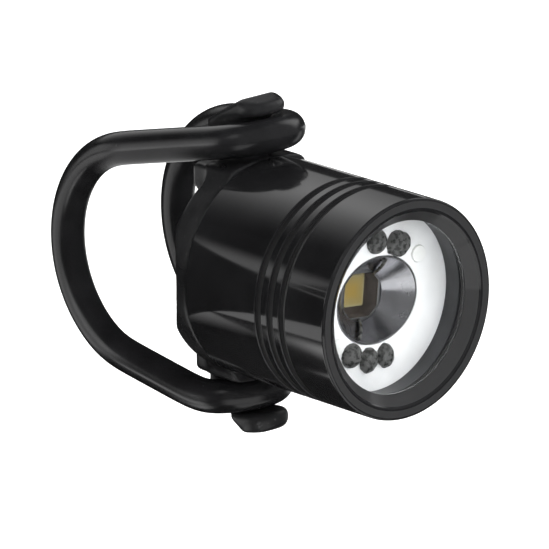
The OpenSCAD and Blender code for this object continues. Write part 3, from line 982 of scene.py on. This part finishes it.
@dataclass
class Saddle(SubAssembly):
    """Rubber pad with a hook above and below the bar, moulded in one."""

    seat: Seat = field(default_factory=Seat)
    root_half: float = 6.0
    root_back: float = 6.2
    root_top: dict[int, float] = hooks(14.2, 15.5)
    tip: float = 16.6
    crest: float = 13.0
    tongue_t: float = 2.1
    tongue_rise: float = 4.0
    edge: float = 0.9
    tongue_edge: float = 1.3
    swell: float = 0.28
    fillet: float = 2.6
    cell: float = 0.3

    def hook(self, x: Array, s: Array, z: Array, up: int) -> Array:
        """Distance to one hook: its neck and its tongue.

        Args:
            x: Place along the bar.
            s: Distance ahead.
            z: Height, or depth for the lower hook.
            up: 1 for the upper hook and -1 for the lower one.

        Returns:
            Distances, negative inside the hook.
        """
        seat = self.seat
        strap_top = seat.strap_r + seat.gap
        level = seat.loop(up) + max(seat.tilt[up], 0) + strap_top
        lean = seat.tilt[up] / seat.turn_r
        slant = seat.loop(up) + lean * (s - seat.neck(up)) + strap_top * math.hypot(1, lean)
        under = np.minimum(level, slant)
        top = level + self.tongue_t - self.swell
        back = min(self.root_back, seat.neck(up) - seat.neck_r / 2)
        nose = self.tip - self.tongue_t / 2, top - self.tongue_t / 6
        side = meet([
            back - s,
            s - self.tip,
            slope(s, z, (back, top - self.tongue_rise), (self.crest, top)),
            slope(s, z, (self.crest, top), nose),
            slope(s, z, nose, (self.tip, top - self.tongue_t / 2)),
        ], self.edge / 4) - self.swell
        plan = np.hypot(x, np.maximum(s - self.tip + seat.neck_r, 0)) - seat.neck_r - self.swell
        column = np.hypot(x, np.maximum(s - seat.neck(up), 0)) - seat.neck_r
        return meet([side, plan, union(column, under - z, self.tongue_edge), -z], self.tongue_edge)

    def root(self, x: Array, s: Array, z: Array, up: int) -> Array:
        """Distance to the root that carries one hook, with places as for the hook."""
        length = [self.root_back - s, s - self.seat.pad_front]
        return meet([np.abs(x) - self.root_half, *length, z - self.root_top[up], -z], self.edge)

    def shape(self, x: Array, s: Array, z: Array) -> Array:
        """Distance to the whole saddle, negative inside it."""
        seat = self.seat
        pad = meet([np.hypot(x, z) - seat.pad_r, s - seat.pad_front, seat.pad_back - s], self.edge)
        for up in (1, -1):
            pad = union(pad, self.root(x, s, up * z, up), self.fillet)
        body = np.maximum(pad, s - seat.pad_front)
        for up in (1, -1):
            body = union(body, self.hook(x, s, up * z, up), self.edge)
        return meet([body, seat.bar_r - np.hypot(s, z)], self.edge / 2)

    def build(self) -> None:
        """Moulds the saddle."""
        low, high = (np.array(corner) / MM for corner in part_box("rubber_mount"))
        margin = 3 * self.cell
        piece = moulded(
            "rubber_saddle", self.shape,
            (low[0] - margin, -high[1] - margin, low[2] - margin),
            (high[0] + margin, -low[1] + margin, high[2] + margin), self.cell,
        )
        self.fit(piece, Slot.MOUNT, "rubber_mount")


# Barrel and bezel


@dataclass
class Barrel(SubAssembly):
    """Turned barrel with its grooves and threaded neck."""

    bore_r: float = 13.35
    rear_wall: float = 1.4
    neck_r: float = 14.0
    neck_len: float = 4.2
    groove_w: float = 1.15
    groove_depth: float = 0.42
    groove_pitch: float = 2.37
    seal_half: float = 0.27
    edge: float = 0.25
    thread_depth: float = 0.26

    def build(self) -> None:
        """Turns the barrel."""
        span = Span.of("barrel")
        shoulder = span.front - self.neck_len
        floor_r = span.radius - self.groove_depth
        parting = shoulder + self.seal_half
        half = self.groove_w / 2
        corners = [
            Corner(span.back, AXIS_R),
            Corner(span.back, span.radius, self.edge),
        ]
        for k in (2, 1):
            middle = parting - k * self.groove_pitch
            corners += [
                Corner(middle - half, span.radius, self.edge / 2),
                Corner(middle - half, floor_r, self.edge / 2),
                Corner(middle + half, floor_r, self.edge / 2),
                Corner(middle + half, span.radius, self.edge / 2),
            ]
        corners += [
            Corner(parting - half, span.radius, self.edge / 2),
            Corner(parting - half, floor_r, self.edge / 2),
            Corner(shoulder, floor_r, self.edge / 3),
            Corner(shoulder, self.neck_r),
            Corner(span.front, self.neck_r, self.edge),
            Corner(span.front, self.bore_r, self.edge),
            Corner(span.back + self.rear_wall, self.bore_r, self.edge),
            Corner(span.back + self.rear_wall, AXIS_R),
        ]
        thread = Thread(shoulder, span.front, self.neck_r, -self.thread_depth)
        piece = lathe("turned_barrel", rounded(corners, False), False, thread)
        self.fit(piece, Slot.BLACK, "barrel")


@dataclass
class SealCarrier(SubAssembly):
    """Flat seal that travels behind the bezel."""

    body: Body = Body.CARRIER
    inner_r: float = 14.08
    edge: float = 0.2

    def build(self) -> None:
        """Moulds the seal as a ring with round edges."""
        self.ring("bezel_seal_ring", "bezel_seal", Slot.SEAL, self.inner_r, self.edge)


@dataclass
class Bezel(SubAssembly):
    """Front bezel with a flat rim and a sloped lip round the lens."""

    body: Body = Body.BEZEL
    nut_r: float = 14.08
    nut_len: float = 3.81
    bore_r: float = 13.35
    rim_w: float = 1.7
    rim_edge: float = 0.35
    lip_r: float = 11.95
    lip_depth: float = 1.45
    lip_edge: float = 0.45
    step: float = 0.325
    groove_depth: float = 0.42
    edge: float = 0.25
    thread_depth: float = 0.26

    def build(self) -> None:
        """Turns the bezel."""
        span = Span.of("front_bezel")
        floor_r = span.radius - self.groove_depth
        nut_end = span.back + self.nut_len
        lip_front = span.front - self.lip_depth
        corners = [
            Corner(span.back, self.nut_r, self.edge / 2),
            Corner(span.back, floor_r, self.edge / 3),
            Corner(span.back + self.step, floor_r, self.edge / 3),
            Corner(span.back + self.step, span.radius, self.edge / 2),
            Corner(span.front, span.radius, self.rim_edge),
            Corner(span.front, span.radius - self.rim_w, self.edge),
            Corner(lip_front, self.lip_r, self.edge / 2),
            Corner(lip_front - self.lip_edge, self.lip_r, self.edge / 3),
            Corner(lip_front - self.lip_edge, self.bore_r, self.edge / 3),
            Corner(nut_end, self.bore_r, self.edge / 3),
            Corner(nut_end, self.nut_r),
        ]
        thread = Thread(span.back, nut_end, self.nut_r, self.thread_depth)
        piece = lathe("turned_bezel", rounded(corners), True, thread)
        self.fit(piece, Slot.BLACK, "front_bezel")


# Light engine


def plate_rings(
    half: float, back: float, front: float, corner: float, edge: float,
    sides: int = SMALL_STEPS, bends: int = 6,
) -> Array:
    """Rings of a square plate with round corners and round front edges.

    Args:
        half: Half of its width.
        back: Distance ahead of its rear face.
        front: Distance ahead of its front face.
        corner: Radius of its corners.
        edge: Radius of its front edges.
        sides: Number of points in each ring.
        bends: Number of rings over the front edges.

    Returns:
        Points in millimetres, for a piece centred on the axis.
    """
    turn = circle(sides) + math.pi / sides
    away = np.stack([np.cos(turn), np.sin(turn)], -1)
    centre = np.sign(away) * (half - corner)
    insets = [(back, 0.0)]
    for bend in np.linspace(0, math.pi / 2, bends):
        insets.append((front - edge * (1 - math.sin(bend)), edge * (1 - math.cos(bend))))
    rings = []
    for ahead, inset in insets:
        flat = centre + away * (corner - inset)
        rings.append(np.stack([flat[:, 0], np.full(sides, -ahead), flat[:, 1]], -1))
    return np.array(rings)


@dataclass(frozen=True)
class Dome:
    """Low dome on the board, with its angle, its distance from the axis and its half sizes."""

    angle: float
    out: float
    wide: float
    deep: float
    high: float

    def reach(self, x: Array, ahead: Array, z: Array) -> Array:
        """Distance to the dome, which is turned to face the axis.

        Args:
            x: Place across the board.
            ahead: Distance ahead of the board.
            z: Place up the board.

        Returns:
            Distances, negative inside the dome.
        """
        turn = math.radians(self.angle)
        radial = x * math.cos(turn) + z * math.sin(turn) - self.out
        across = -x * math.sin(turn) + z * math.cos(turn)
        size = np.sqrt((radial / self.deep) ** 2 + (across / self.wide) ** 2 + (ahead / self.high) ** 2)
        return (size - 1) * min(self.wide, self.deep, self.high)


SMOOTH_PARTS = (Dome(91.0, 8.3, 1.7, 1.75, 1.3), Dome(234.0, 8.3, 1.7, 1.75, 1.3))
LUMPY_PARTS = (
    (Dome(59.0, 8.2, 1.5, 1.8, 1.3), Dome(67.0, 8.1, 1.4, 1.75, 1.196)),
    (Dome(257.0, 8.2, 1.5, 1.8, 1.3), Dome(279.0, 8.1, 1.4, 1.75, 1.196)),
)
# Rate and start of the ripple across, ahead and up
LUMP_WAVES = ((3.9, 1.0), (4.1, 0.5), (3.4, 0.0))


@dataclass
class LightEngine(SubAssembly):
    """Lens, boards, reflector and emitter, which move back together when the lens is pressed."""

    body: Body = Body.ENGINE
    lens_land: Pair = (0.4, 0.5)
    lens_edge: Pair = (0.12, 0.25)
    gasket_w: float = 1.2
    gasket_edge: float = 0.18
    spacer_wall: float = 0.6
    spacer_edge: float = 0.12
    cup_half_w: float = 7.0
    cup_half_h: float = 5.8
    cup_floor_r: float = 3.6
    cup_wall: float = 0.3
    cup_edge: Pair = (0.05, 0.1)
    well_w: float = 6.1
    well_corner_w: float = 6.8
    well_depth: float = 2.27
    base_corner: float = 1.38
    face_t: float = 0.08
    emitter_w: float = 4.5
    emitter_corner: float = 0.3
    emitter_edge: float = 0.12
    emitter_turn: float = -6.0
    emitter_up: float = 0.2
    lump_reach: float = 10.5
    lump_room: Pair = (-0.4, 1.9)
    lump_blend: float = 0.3
    lump_ripple: float = 0.07
    lump_cell: float = 0.14
    rivet_ring_r: float = 9.0
    rivet_angle: float = 34.0
    rivet_r: float = 0.65
    rivet_head_r: float = 1.2
    rivet_head_t: float = 0.4
    rivet_edges: tuple[float, float, float, float] = (0.1, 0.05, 0.12, 0.3)
    lead_r: float = 0.24
    lead_gap: float = 0.03
    lead_sag: float = 0.25
    lead_ends: Pair = (0.02, 0.98)
    lead_turns: tuple[Pair, ...] = ((50.0, 73.0), (262.0, 235.0))
    lead_steps: int = 24
    lead_sides: int = 16

    def build(self) -> None:
        """Builds every piece of the engine."""
        self.lens()
        self.rings()
        self.reflector()
        self.emitter()
        self.emitter_base()
        self.lumps()
        self.rivets()
        self.leads()
        self.dress("driver_board", Slot.WHITE)
        self.dress("led_board", Slot.BOARD_METAL)
        self.dress("jumper_wires", Slot.WIRE)
        self.dress("engine_housing", Slot.INNER)

    def lens(self) -> None:
        """Polished lens with an eased edge."""
        span = Span.of("lens")
        back_edge, front_edge = self.lens_edge
        back_land, front_land = self.lens_land
        corners = [
            Corner(span.back, span.radius - back_land), Corner(span.back, span.radius, back_edge),
            Corner(span.front, span.radius, front_edge), Corner(span.front, span.radius - front_land),
        ]
        self.fit(lathe("clear_lens", rounded(corners, False), False), Slot.LENS, "lens")

    def rings(self) -> None:
        """Gasket in front of the lens, and the black ring between the board and the lens."""
        inner = Span.of("lens_gasket").radius - self.gasket_w
        self.ring("lens_gasket_ring", "lens_gasket", Slot.SEAL, inner, self.gasket_edge)
        inner = Span.of("spacer_ring").radius - self.spacer_wall
        self.ring("black_spacer", "spacer_ring", Slot.INNER, inner, self.spacer_edge)

    def reflector(self) -> None:
        """Pressed cup with a rounded oval rim."""
        span = Span.of("reflector")
        floor_edge, rim_edge = self.cup_edge
        outline = rounded([
            Corner(span.back, self.cup_floor_r, floor_edge),
            Corner(span.back, self.cup_floor_r + self.cup_wall, floor_edge),
            Corner(span.front, self.cup_half_h + self.cup_wall, rim_edge),
            Corner(span.front, self.cup_half_h, rim_edge),
        ])
        angle = circle(ROUND_STEPS)
        ahead = outline[:, :1]
        share = (ahead - span.back) / (span.front - span.back)
        radius = outline[:, 1:] + share * (self.mouth(angle) - self.cup_half_h)
        piece = loft("pressed_reflector", about_axis(ahead, radius, angle), True)
        self.fit(piece, Slot.BRIGHT, "reflector")

    def mouth(self, angle: Array) -> Array:
        """Radius of the cup's oval front at each angle."""
        return 1 / np.hypot(np.cos(angle) / self.cup_half_w, np.sin(angle) / self.cup_half_h)

    def emitter(self) -> None:
        """Yellow square, turned a little."""
        span = Span.of("emitter")
        half = self.emitter_w / 2
        plate = plate_rings(half, span.back, span.front, self.emitter_corner, self.emitter_edge)
        piece = loft("yellow_emitter", plate, False)
        turn = Matrix.Rotation(math.radians(-self.emitter_turn), 4, "Y")
        piece.data.transform(Matrix.Translation((0, 0, self.emitter_up * MM)) @ turn)
        self.fit(piece, Slot.PHOSPHOR, "emitter")

    def emitter_base(self) -> None:
        """Dark base with a well for the emitter, and the thin face in front of it."""
        span = Span.of("led_base")
        angle = circle(ROUND_STEPS)
        turned = angle - math.radians(self.emitter_turn)
        block = self.reach(angle, span.radius, span.radius * self.base_corner)
        well = self.reach(turned, self.well_w / 2, self.well_corner_w / 2)
        cover = np.full_like(angle, self.cup_floor_r + self.cup_wall)
        floor = span.front - self.well_depth
        front = span.front - self.face_t
        ease = self.face_t / 2

        def rings(*steps: tuple[float, Array]) -> Array:
            """Rings of points at each distance ahead and reach from the axis."""
            return np.stack([about_axis(ahead, out, angle) for ahead, out in steps])

        base = rings((span.back, block), (front, block), (front, well), (floor, well))
        self.fit(loft("emitter_base", base, False), Slot.BROWN, "led_base")
        eased = (span.front, well + ease), (span.front - ease, well)
        face = rings((front, cover), (span.front, cover), *eased, (front, well))
        self.fit(loft("emitter_face", face, True), Slot.BOARD_METAL)

    @staticmethod
    def reach(angle: Array, half: float, corner: float) -> Array:
        """Distance to the outline of a square with cut corners, at each angle from its middle."""
        slanted = angle - math.pi / 4
        straight = half / np.maximum(np.abs(np.cos(angle)), np.abs(np.sin(angle)))
        slant = corner / np.maximum(np.abs(np.cos(slanted)), np.abs(np.sin(slanted)))
        return np.minimum(straight, slant)

    def lumps(self) -> None:
        """Four sealed parts on the board, two smooth and two lumpy."""
        base = Span.of("board_chips").back

        def shape(x: Array, s: Array, z: Array) -> Array:
            """Distance to all the parts."""
            ahead = s - base
            ripple = self.lump_ripple
            for place, (rate, start) in zip((x, s, z), LUMP_WAVES):
                ripple = ripple * np.sin(rate * place + start)
            parts = [dome.reach(x, ahead, z) for dome in SMOOTH_PARTS]
            for pair in LUMPY_PARTS:
                lobes = (dome.reach(x, ahead, z) for dome in pair)
                parts.append(union(*lobes, self.lump_blend) + ripple)
            return np.maximum(np.minimum.reduce(parts), -ahead)

        out = self.lump_reach
        back, front = (base + room for room in self.lump_room)
        piece = moulded("sealed_parts", shape, (-out, back, -out), (out, front, out), self.lump_cell)
        self.fit(piece, Slot.CHIP, "board_chips")

    def rivets(self) -> None:
        """Two pale rivets with domed heads."""
        span = Span.of("board_rivets")
        neck = span.front - self.rivet_head_t
        foot_edge, neck_edge, under_edge, head_edge = self.rivet_edges
        outline = rounded([
            Corner(span.back, AXIS_R),
            Corner(span.back, self.rivet_r, foot_edge),
            Corner(neck, self.rivet_r, neck_edge),
            Corner(neck, self.rivet_head_r, under_edge),
            Corner(span.front, self.rivet_head_r, head_edge),
            Corner(span.front, AXIS_R),
        ], False)
        for number, half_turns in ((1, 0), (2, 1)):
            turn = math.radians(self.rivet_angle + 180 * half_turns)
            piece = lathe(f"board_rivet_{number}", outline, False, steps=SMALL_STEPS)
            place = Vector((math.cos(turn), 0, math.sin(turn))) * self.rivet_ring_r * MM
            piece.data.transform(Matrix.Translation(place))
            self.fit(piece, Slot.PALE, "board_rivets")

    def leads(self) -> None:
        """Two black wires that run up the cup's wall from the emitter's base to the board."""
        span = Span.of("reflector")
        share = np.linspace(*self.lead_ends, self.lead_steps)
        ahead = span.back + (span.front - span.back) * share
        sag = self.lead_r + self.lead_gap + self.lead_sag * np.sin(math.pi * share)
        section = np.full(self.lead_sides, self.lead_r)
        for number, (low, high) in enumerate(self.lead_turns, 1):
            turn = np.radians(low + (high - low) * share)
            radius = self.cup_floor_r + (self.mouth(turn) - self.cup_floor_r) * share - sag
            line = about_axis(ahead, radius, turn)
            out = about_axis(np.zeros_like(turn), np.ones_like(turn), turn)
            rings = tube(line, np.gradient(line, axis=0), out, section)
            self.fit(loft(f"emitter_lead_{number}", rings, False), Slot.CHIP)


@dataclass
class Inside(SubAssembly):
    """Pieces inside the barrel and the saddle."""

    washer_r: float = 1.8
    washer_hole: float = 1.05
    washer_edge: float = 0.15
    screw_z: float = 7.5

    def build(self) -> None:
        """Makes the washers and finishes the rest."""
        span = Span.of("sealing_washers")
        outline = ring_outline(span.back, span.front, self.washer_r, self.washer_hole, self.washer_edge)
        for name, z in (("upper_washer", self.screw_z), ("lower_washer", -self.screw_z)):
            piece = lathe(name, outline, steps=SMALL_STEPS)
            piece.data.transform(Matrix.Translation((0, 0, z * MM)))
            self.fit(piece, Slot.SEAL, "sealing_washers")
        for node, slot in (
            ("mount_inserts", Slot.BRASS),
            ("mount_screws", Slot.STEEL),
            ("battery_tray", Slot.INNER),
            ("contact_negative", Slot.CONTACT),
            ("rear_cell", Slot.STEEL),
            ("front_cell", Slot.STEEL),
            ("contact_positive", Slot.CONTACT),
            ("switch_board", Slot.GREEN),
            ("switch_body", Slot.INNER),
            ("switch_plunger", Slot.PALE),
        ):
            self.dress(node, slot)


# Studio


WHITE = (1.0, 1.0, 1.0, 1.0)
# Kinds of rays that pass each kind of card by
HIDDEN = {Light.SOFT: ("glossy", "transmission"), Light.MIRRORED: ("diffuse",), Light.BOTH: ()}


def direction(azimuth: float, elevation: float) -> Vector:
    """Direction at an azimuth from straight ahead towards +X, and an elevation, in degrees."""
    turn, rise = math.radians(azimuth), math.radians(elevation)
    return Vector((math.sin(turn) * math.cos(rise), -math.cos(turn) * math.cos(rise), math.sin(rise)))


def show(mesh: bpy.types.Mesh, made: bpy.types.Material, *hidden: str) -> Piece:
    """Adds one object of the studio.

    Args:
        mesh: Its mesh, whose name it takes.
        made: Its material.
        *hidden: Kinds of rays that pass it by.

    Returns:
        The new object.
    """
    mesh.materials.append(made)
    thing = bpy.data.objects.new(mesh.name, mesh)
    bpy.context.scene.collection.objects.link(thing)
    for ray in hidden:
        setattr(thing, "visible_" + ray, False)
    return thing


@dataclass(frozen=True)
class Card:
    """Glowing card on a sphere round the light, with soft edges and its distance in metres."""

    name: str
    azimuth: Pair
    elevation: Pair
    strength: float
    soft: tuple[float, float, float, float] = (0.2, 0.2, 0.2, 0.2)
    distance: float = 0.4
    kind: Light = Light.BOTH
    steps: int = 12

    def build(self, centre: Vector) -> None:
        """Makes the card round a centre."""
        row = self.steps + 1
        (left, right), (low, high) = self.azimuth, self.elevation
        shares = [(i / self.steps, j / self.steps) for i in range(row) for j in range(row)]
        points = [
            centre + self.distance * direction(left + (right - left) * u, low + (high - low) * v)
            for u, v in shares
        ]
        starts = [i * row + j for i in range(self.steps) for j in range(self.steps)]
        mesh = bpy.data.meshes.new(self.name)
        mesh.from_pydata(points, [], [(k, k + 1, k + row + 1, k + row) for k in starts])
        across = mesh.uv_layers.new(name="across")
        for loop in mesh.loops:
            across.data[loop.index].uv = shares[loop.vertex_index]
        card = show(mesh, self.glow(), "camera", "shadow", *HIDDEN[self.kind])

    def glow(self) -> bpy.types.Material:
        """Light that fades towards the card's edges."""
        made, graph = new_material(self.name)
        uv = graph.apart(graph.add("TexCoord").outputs["UV"])
        left, right, bottom, top = self.soft
        fade = 1.0
        for share, near, far in ((uv["X"], left, right), (uv["Y"], bottom, top)):
            fade = graph.times(fade, graph.level(share, 0.0, near))
            fade = graph.times(fade, graph.level(graph.math("SUBTRACT", 1.0, share), 0.0, far))
        graph.surface(graph.add("Emission", {"Color": fade, "Strength": self.strength}))
        return made


CARDS = (
    Card("back_soft_box", (124, 214), (17, 62), 1.17, (0.38, 0.65, 0.04, 0.4)),
    Card("left_card", (-162, -122), (-8, 24), 1.0, (0.2, 0.2, 0.1, 0.3), kind=Light.MIRRORED),
    Card("left_side_card", (-134, -97), (-28, 42), 2.4, (0.3, 0.25, 0.2, 0.7), kind=Light.MIRRORED),
    Card("low_left_card", (-175, -108), (-36, -6), 1.15, (0.25, 0.25, 0.4, 0.05), 0.15, Light.MIRRORED),
    Card("low_side_card", (-140, -104), (-48, -24), 2.2, (0.25, 0.25, 0.1, 0.3), 0.13, Light.MIRRORED),
    Card("low_floor_card", (-158, -110), (-64, -46), 1.6, (0.2, 0.2, 0.2, 0.15), 0.13, Light.MIRRORED),
    Card("front_key", (-50, 80), (26, 74), 2.2, (0.2, 0.2, 0.2, 0.2), 0.5, Light.SOFT),
    Card("front_fill", (-85, 85), (0, 75), 4.8, (0.2, 0.2, 0.1, 0.2), 0.51, Light.SOFT),
    Card("front_veil", (-75, 90), (-15, 80), 0.17, (0.1, 0.1, 0.02, 0.1), 0.53, Light.MIRRORED),
    Card("low_front_card", (-80, 25), (-52, -16), 0.97, (0.2, 0.2, 0.02, 0.03), 0.13, Light.MIRRORED),
    Card("floor_card", (-60, 60), (-88, -50), 0.85, (0.1, 0.1, 0.02, 0.1), 0.115, Light.MIRRORED),
    Card("low_right_card", (82, 135), (-34, -4), 0.7, (0.2, 0.2, 0.2, 0.2), 0.2),
    Card("right_soft_box", (70, 112), (12, 60), 1.3, (0.3, 0.3, 0.1, 0.4)),
    Card("left_soft_box", (-96, -66), (30, 62), 1.0, (0.3, 0.3, 0.2, 0.4)),
)


@dataclass
class Studio:
    """Camera, floor and light round the part.

    Lengths are metres. The camera's shifts, its lens and the rod's radius are millimetres.
    """

    azimuth: float = -41.858
    elevation: float = 17.169
    roll: float = -0.636
    distance: float = 1.0736
    centre_right: float = -10.847
    centre_up: float = 4.352
    lens: float = 511.57
    sensor: float = 36.0
    floor_drop: float = 0.1
    floor_size: float = 30.0
    paper: Colour = (0.82, 0.82, 0.82)
    paper_glow: float = 0.78
    ambient: float = 0.8
    tent_r: float = 0.55
    tent_cuts: int = 4
    tent_lift: float = 0.002
    rod_r: float = 12.5
    rod_len: float = 0.9
    rod_sides: int = 64
    # Painted highlight along the top of the round flag, and the levels of its upward fade
    rod_painted_highlight: float = 0.8
    painted_top_levels: Pair = (0.75, 0.97)
    dark: float = 0.02
    middle: Vector = field(default_factory=lambda: Vector((0, -0.028, 0)))

    def build(self) -> None:
        """Sets up the whole studio."""
        self.camera()
        self.floor()
        self.world()
        self.tent()
        for card in CARDS:
            card.build(self.middle)
        bpy.context.scene.view_settings.view_transform = "Standard"

    def camera(self) -> None:
        """Camera ahead of the light, to one side and a little above it."""
        turn, roll = math.radians(self.azimuth), math.radians(self.roll)
        back = direction(self.azimuth, self.elevation)
        level = Vector((math.cos(turn), math.sin(turn), 0))
        upright = back.cross(level)
        right = level * math.cos(roll) + upright * math.sin(roll)
        up = upright * math.cos(roll) - level * math.sin(roll)
        lens = bpy.data.cameras.new("camera")
        lens.lens = self.lens
        lens.sensor_width = self.sensor
        camera = bpy.data.objects.new("camera", lens)
        camera.matrix_world = Matrix((right, up, back)).transposed().to_4x4()
        camera.location = back * self.distance - (right * self.centre_right + up * self.centre_up) * MM
        bpy.context.scene.collection.objects.link(camera)
        bpy.context.scene.camera = camera

    @property
    def ground(self) -> float:
        """Height of the floor."""
        return CAD_BOX[0][2] - self.floor_drop

    def floor(self) -> None:
        """Pale floor that shows white and keeps the part's shadow."""
        half = self.floor_size / 2
        mesh = bpy.data.meshes.new("floor")
        corners = [(-half, -half), (half, -half), (half, half), (-half, half)]
        mesh.from_pydata([(*corner, self.ground) for corner in corners], [], [(0, 1, 2, 3)])
        made, graph = new_material("pale_floor")
        paper = graph.add("BsdfDiffuse", {"Color": solid(self.paper)}).outputs[0]
        lift = graph.add("Emission", {"Color": WHITE, "Strength": self.paper_glow}).outputs[0]
        both = graph.add("AddShader", {0: paper, 1: lift}).outputs[0]
        graph.surface(graph.add("MixShader", {0: self.seen(graph), 1: paper, 2: both}))
        floor = show(mesh, made)

    @staticmethod
    def seen(graph: Graph) -> Socket:
        """One for rays that show the background: from the camera, off gloss and through glass."""
        path = graph.add("LightPath").outputs
        shiny = graph.math("MAXIMUM", path["Is Glossy Ray"], path["Is Transmission Ray"])
        return graph.math("MAXIMUM", path["Is Camera Ray"], shiny)

    def world(self) -> None:
        """White background with a dimmer even light."""
        world = bpy.data.worlds.new("studio")
        bpy.context.scene.world = world
        world.use_nodes = True
        graph = Graph(world.node_tree)
        strength = graph.between(self.seen(graph), self.ambient, 1.0)
        graph.surface(graph.add("Background", {"Color": WHITE, "Strength": strength}), "World")

    def tent(self) -> None:
        """Black flags round and behind the part, which its gloss mirrors between the cards, and a round
        flag with a painted highlight along its top.
        """
        skin = bmesh.new()
        bmesh.ops.create_icosphere(skin, subdivisions=self.tent_cuts, radius=self.tent_r)
        for vertex in skin.verts:
            vertex.co += self.middle
            vertex.co.z = max(vertex.co.z, self.ground + self.tent_lift)
        self.flag("black_flags", skin, 0.0)
        skin = bmesh.new()
        radius = self.rod_r * MM
        bmesh.ops.create_cone(
            skin, cap_ends=True, segments=self.rod_sides, radius1=radius, radius2=radius,
            depth=self.rod_len, matrix=Matrix.Rotation(math.pi / 2, 4, "Y"),
        )
        # The rod glows brighter on its top: a painted highlight of a lit bar top, seen in gloss.
        self.flag("round_flag", skin, self.rod_painted_highlight)

    def flag(self, name: str, skin: bmesh.types.BMesh, glow: float) -> None:
        """Sets up one dark flag that only gloss mirrors.

        Args:
            name: Name of the flag.
            skin: Its shape, which is used up.
            glow: Painted light on the faces that look straight up, a painted highlight along the flag's
                top.
        """
        mesh = bpy.data.meshes.new(name)
        skin.to_mesh(mesh)
        skin.free()
        made, graph = new_material(name)
        facing = graph.apart(graph.add("NewGeometry").outputs["Normal"])["Z"]
        # Painted highlight: faces that look up glow brighter than the dark level.
        strength = graph.between(graph.level(facing, *self.painted_top_levels), self.dark, self.dark + glow)
        graph.surface(graph.add("Emission", {"Color": WHITE, "Strength": strength}))
        flag = show(mesh, made, "camera", "diffuse", "shadow")


def main() -> None:
    """Builds the studio and every sub-assembly in order."""
    logging.basicConfig(level=logging.INFO, format="%(message)s")
    Studio().build()
    paint = Paint()
    for assembly in (Saddle, Strap, Barrel, SealCarrier, Bezel, LightEngine, Inside):
        assembly(paint).build()


if __name__ == "__main__":
    main()
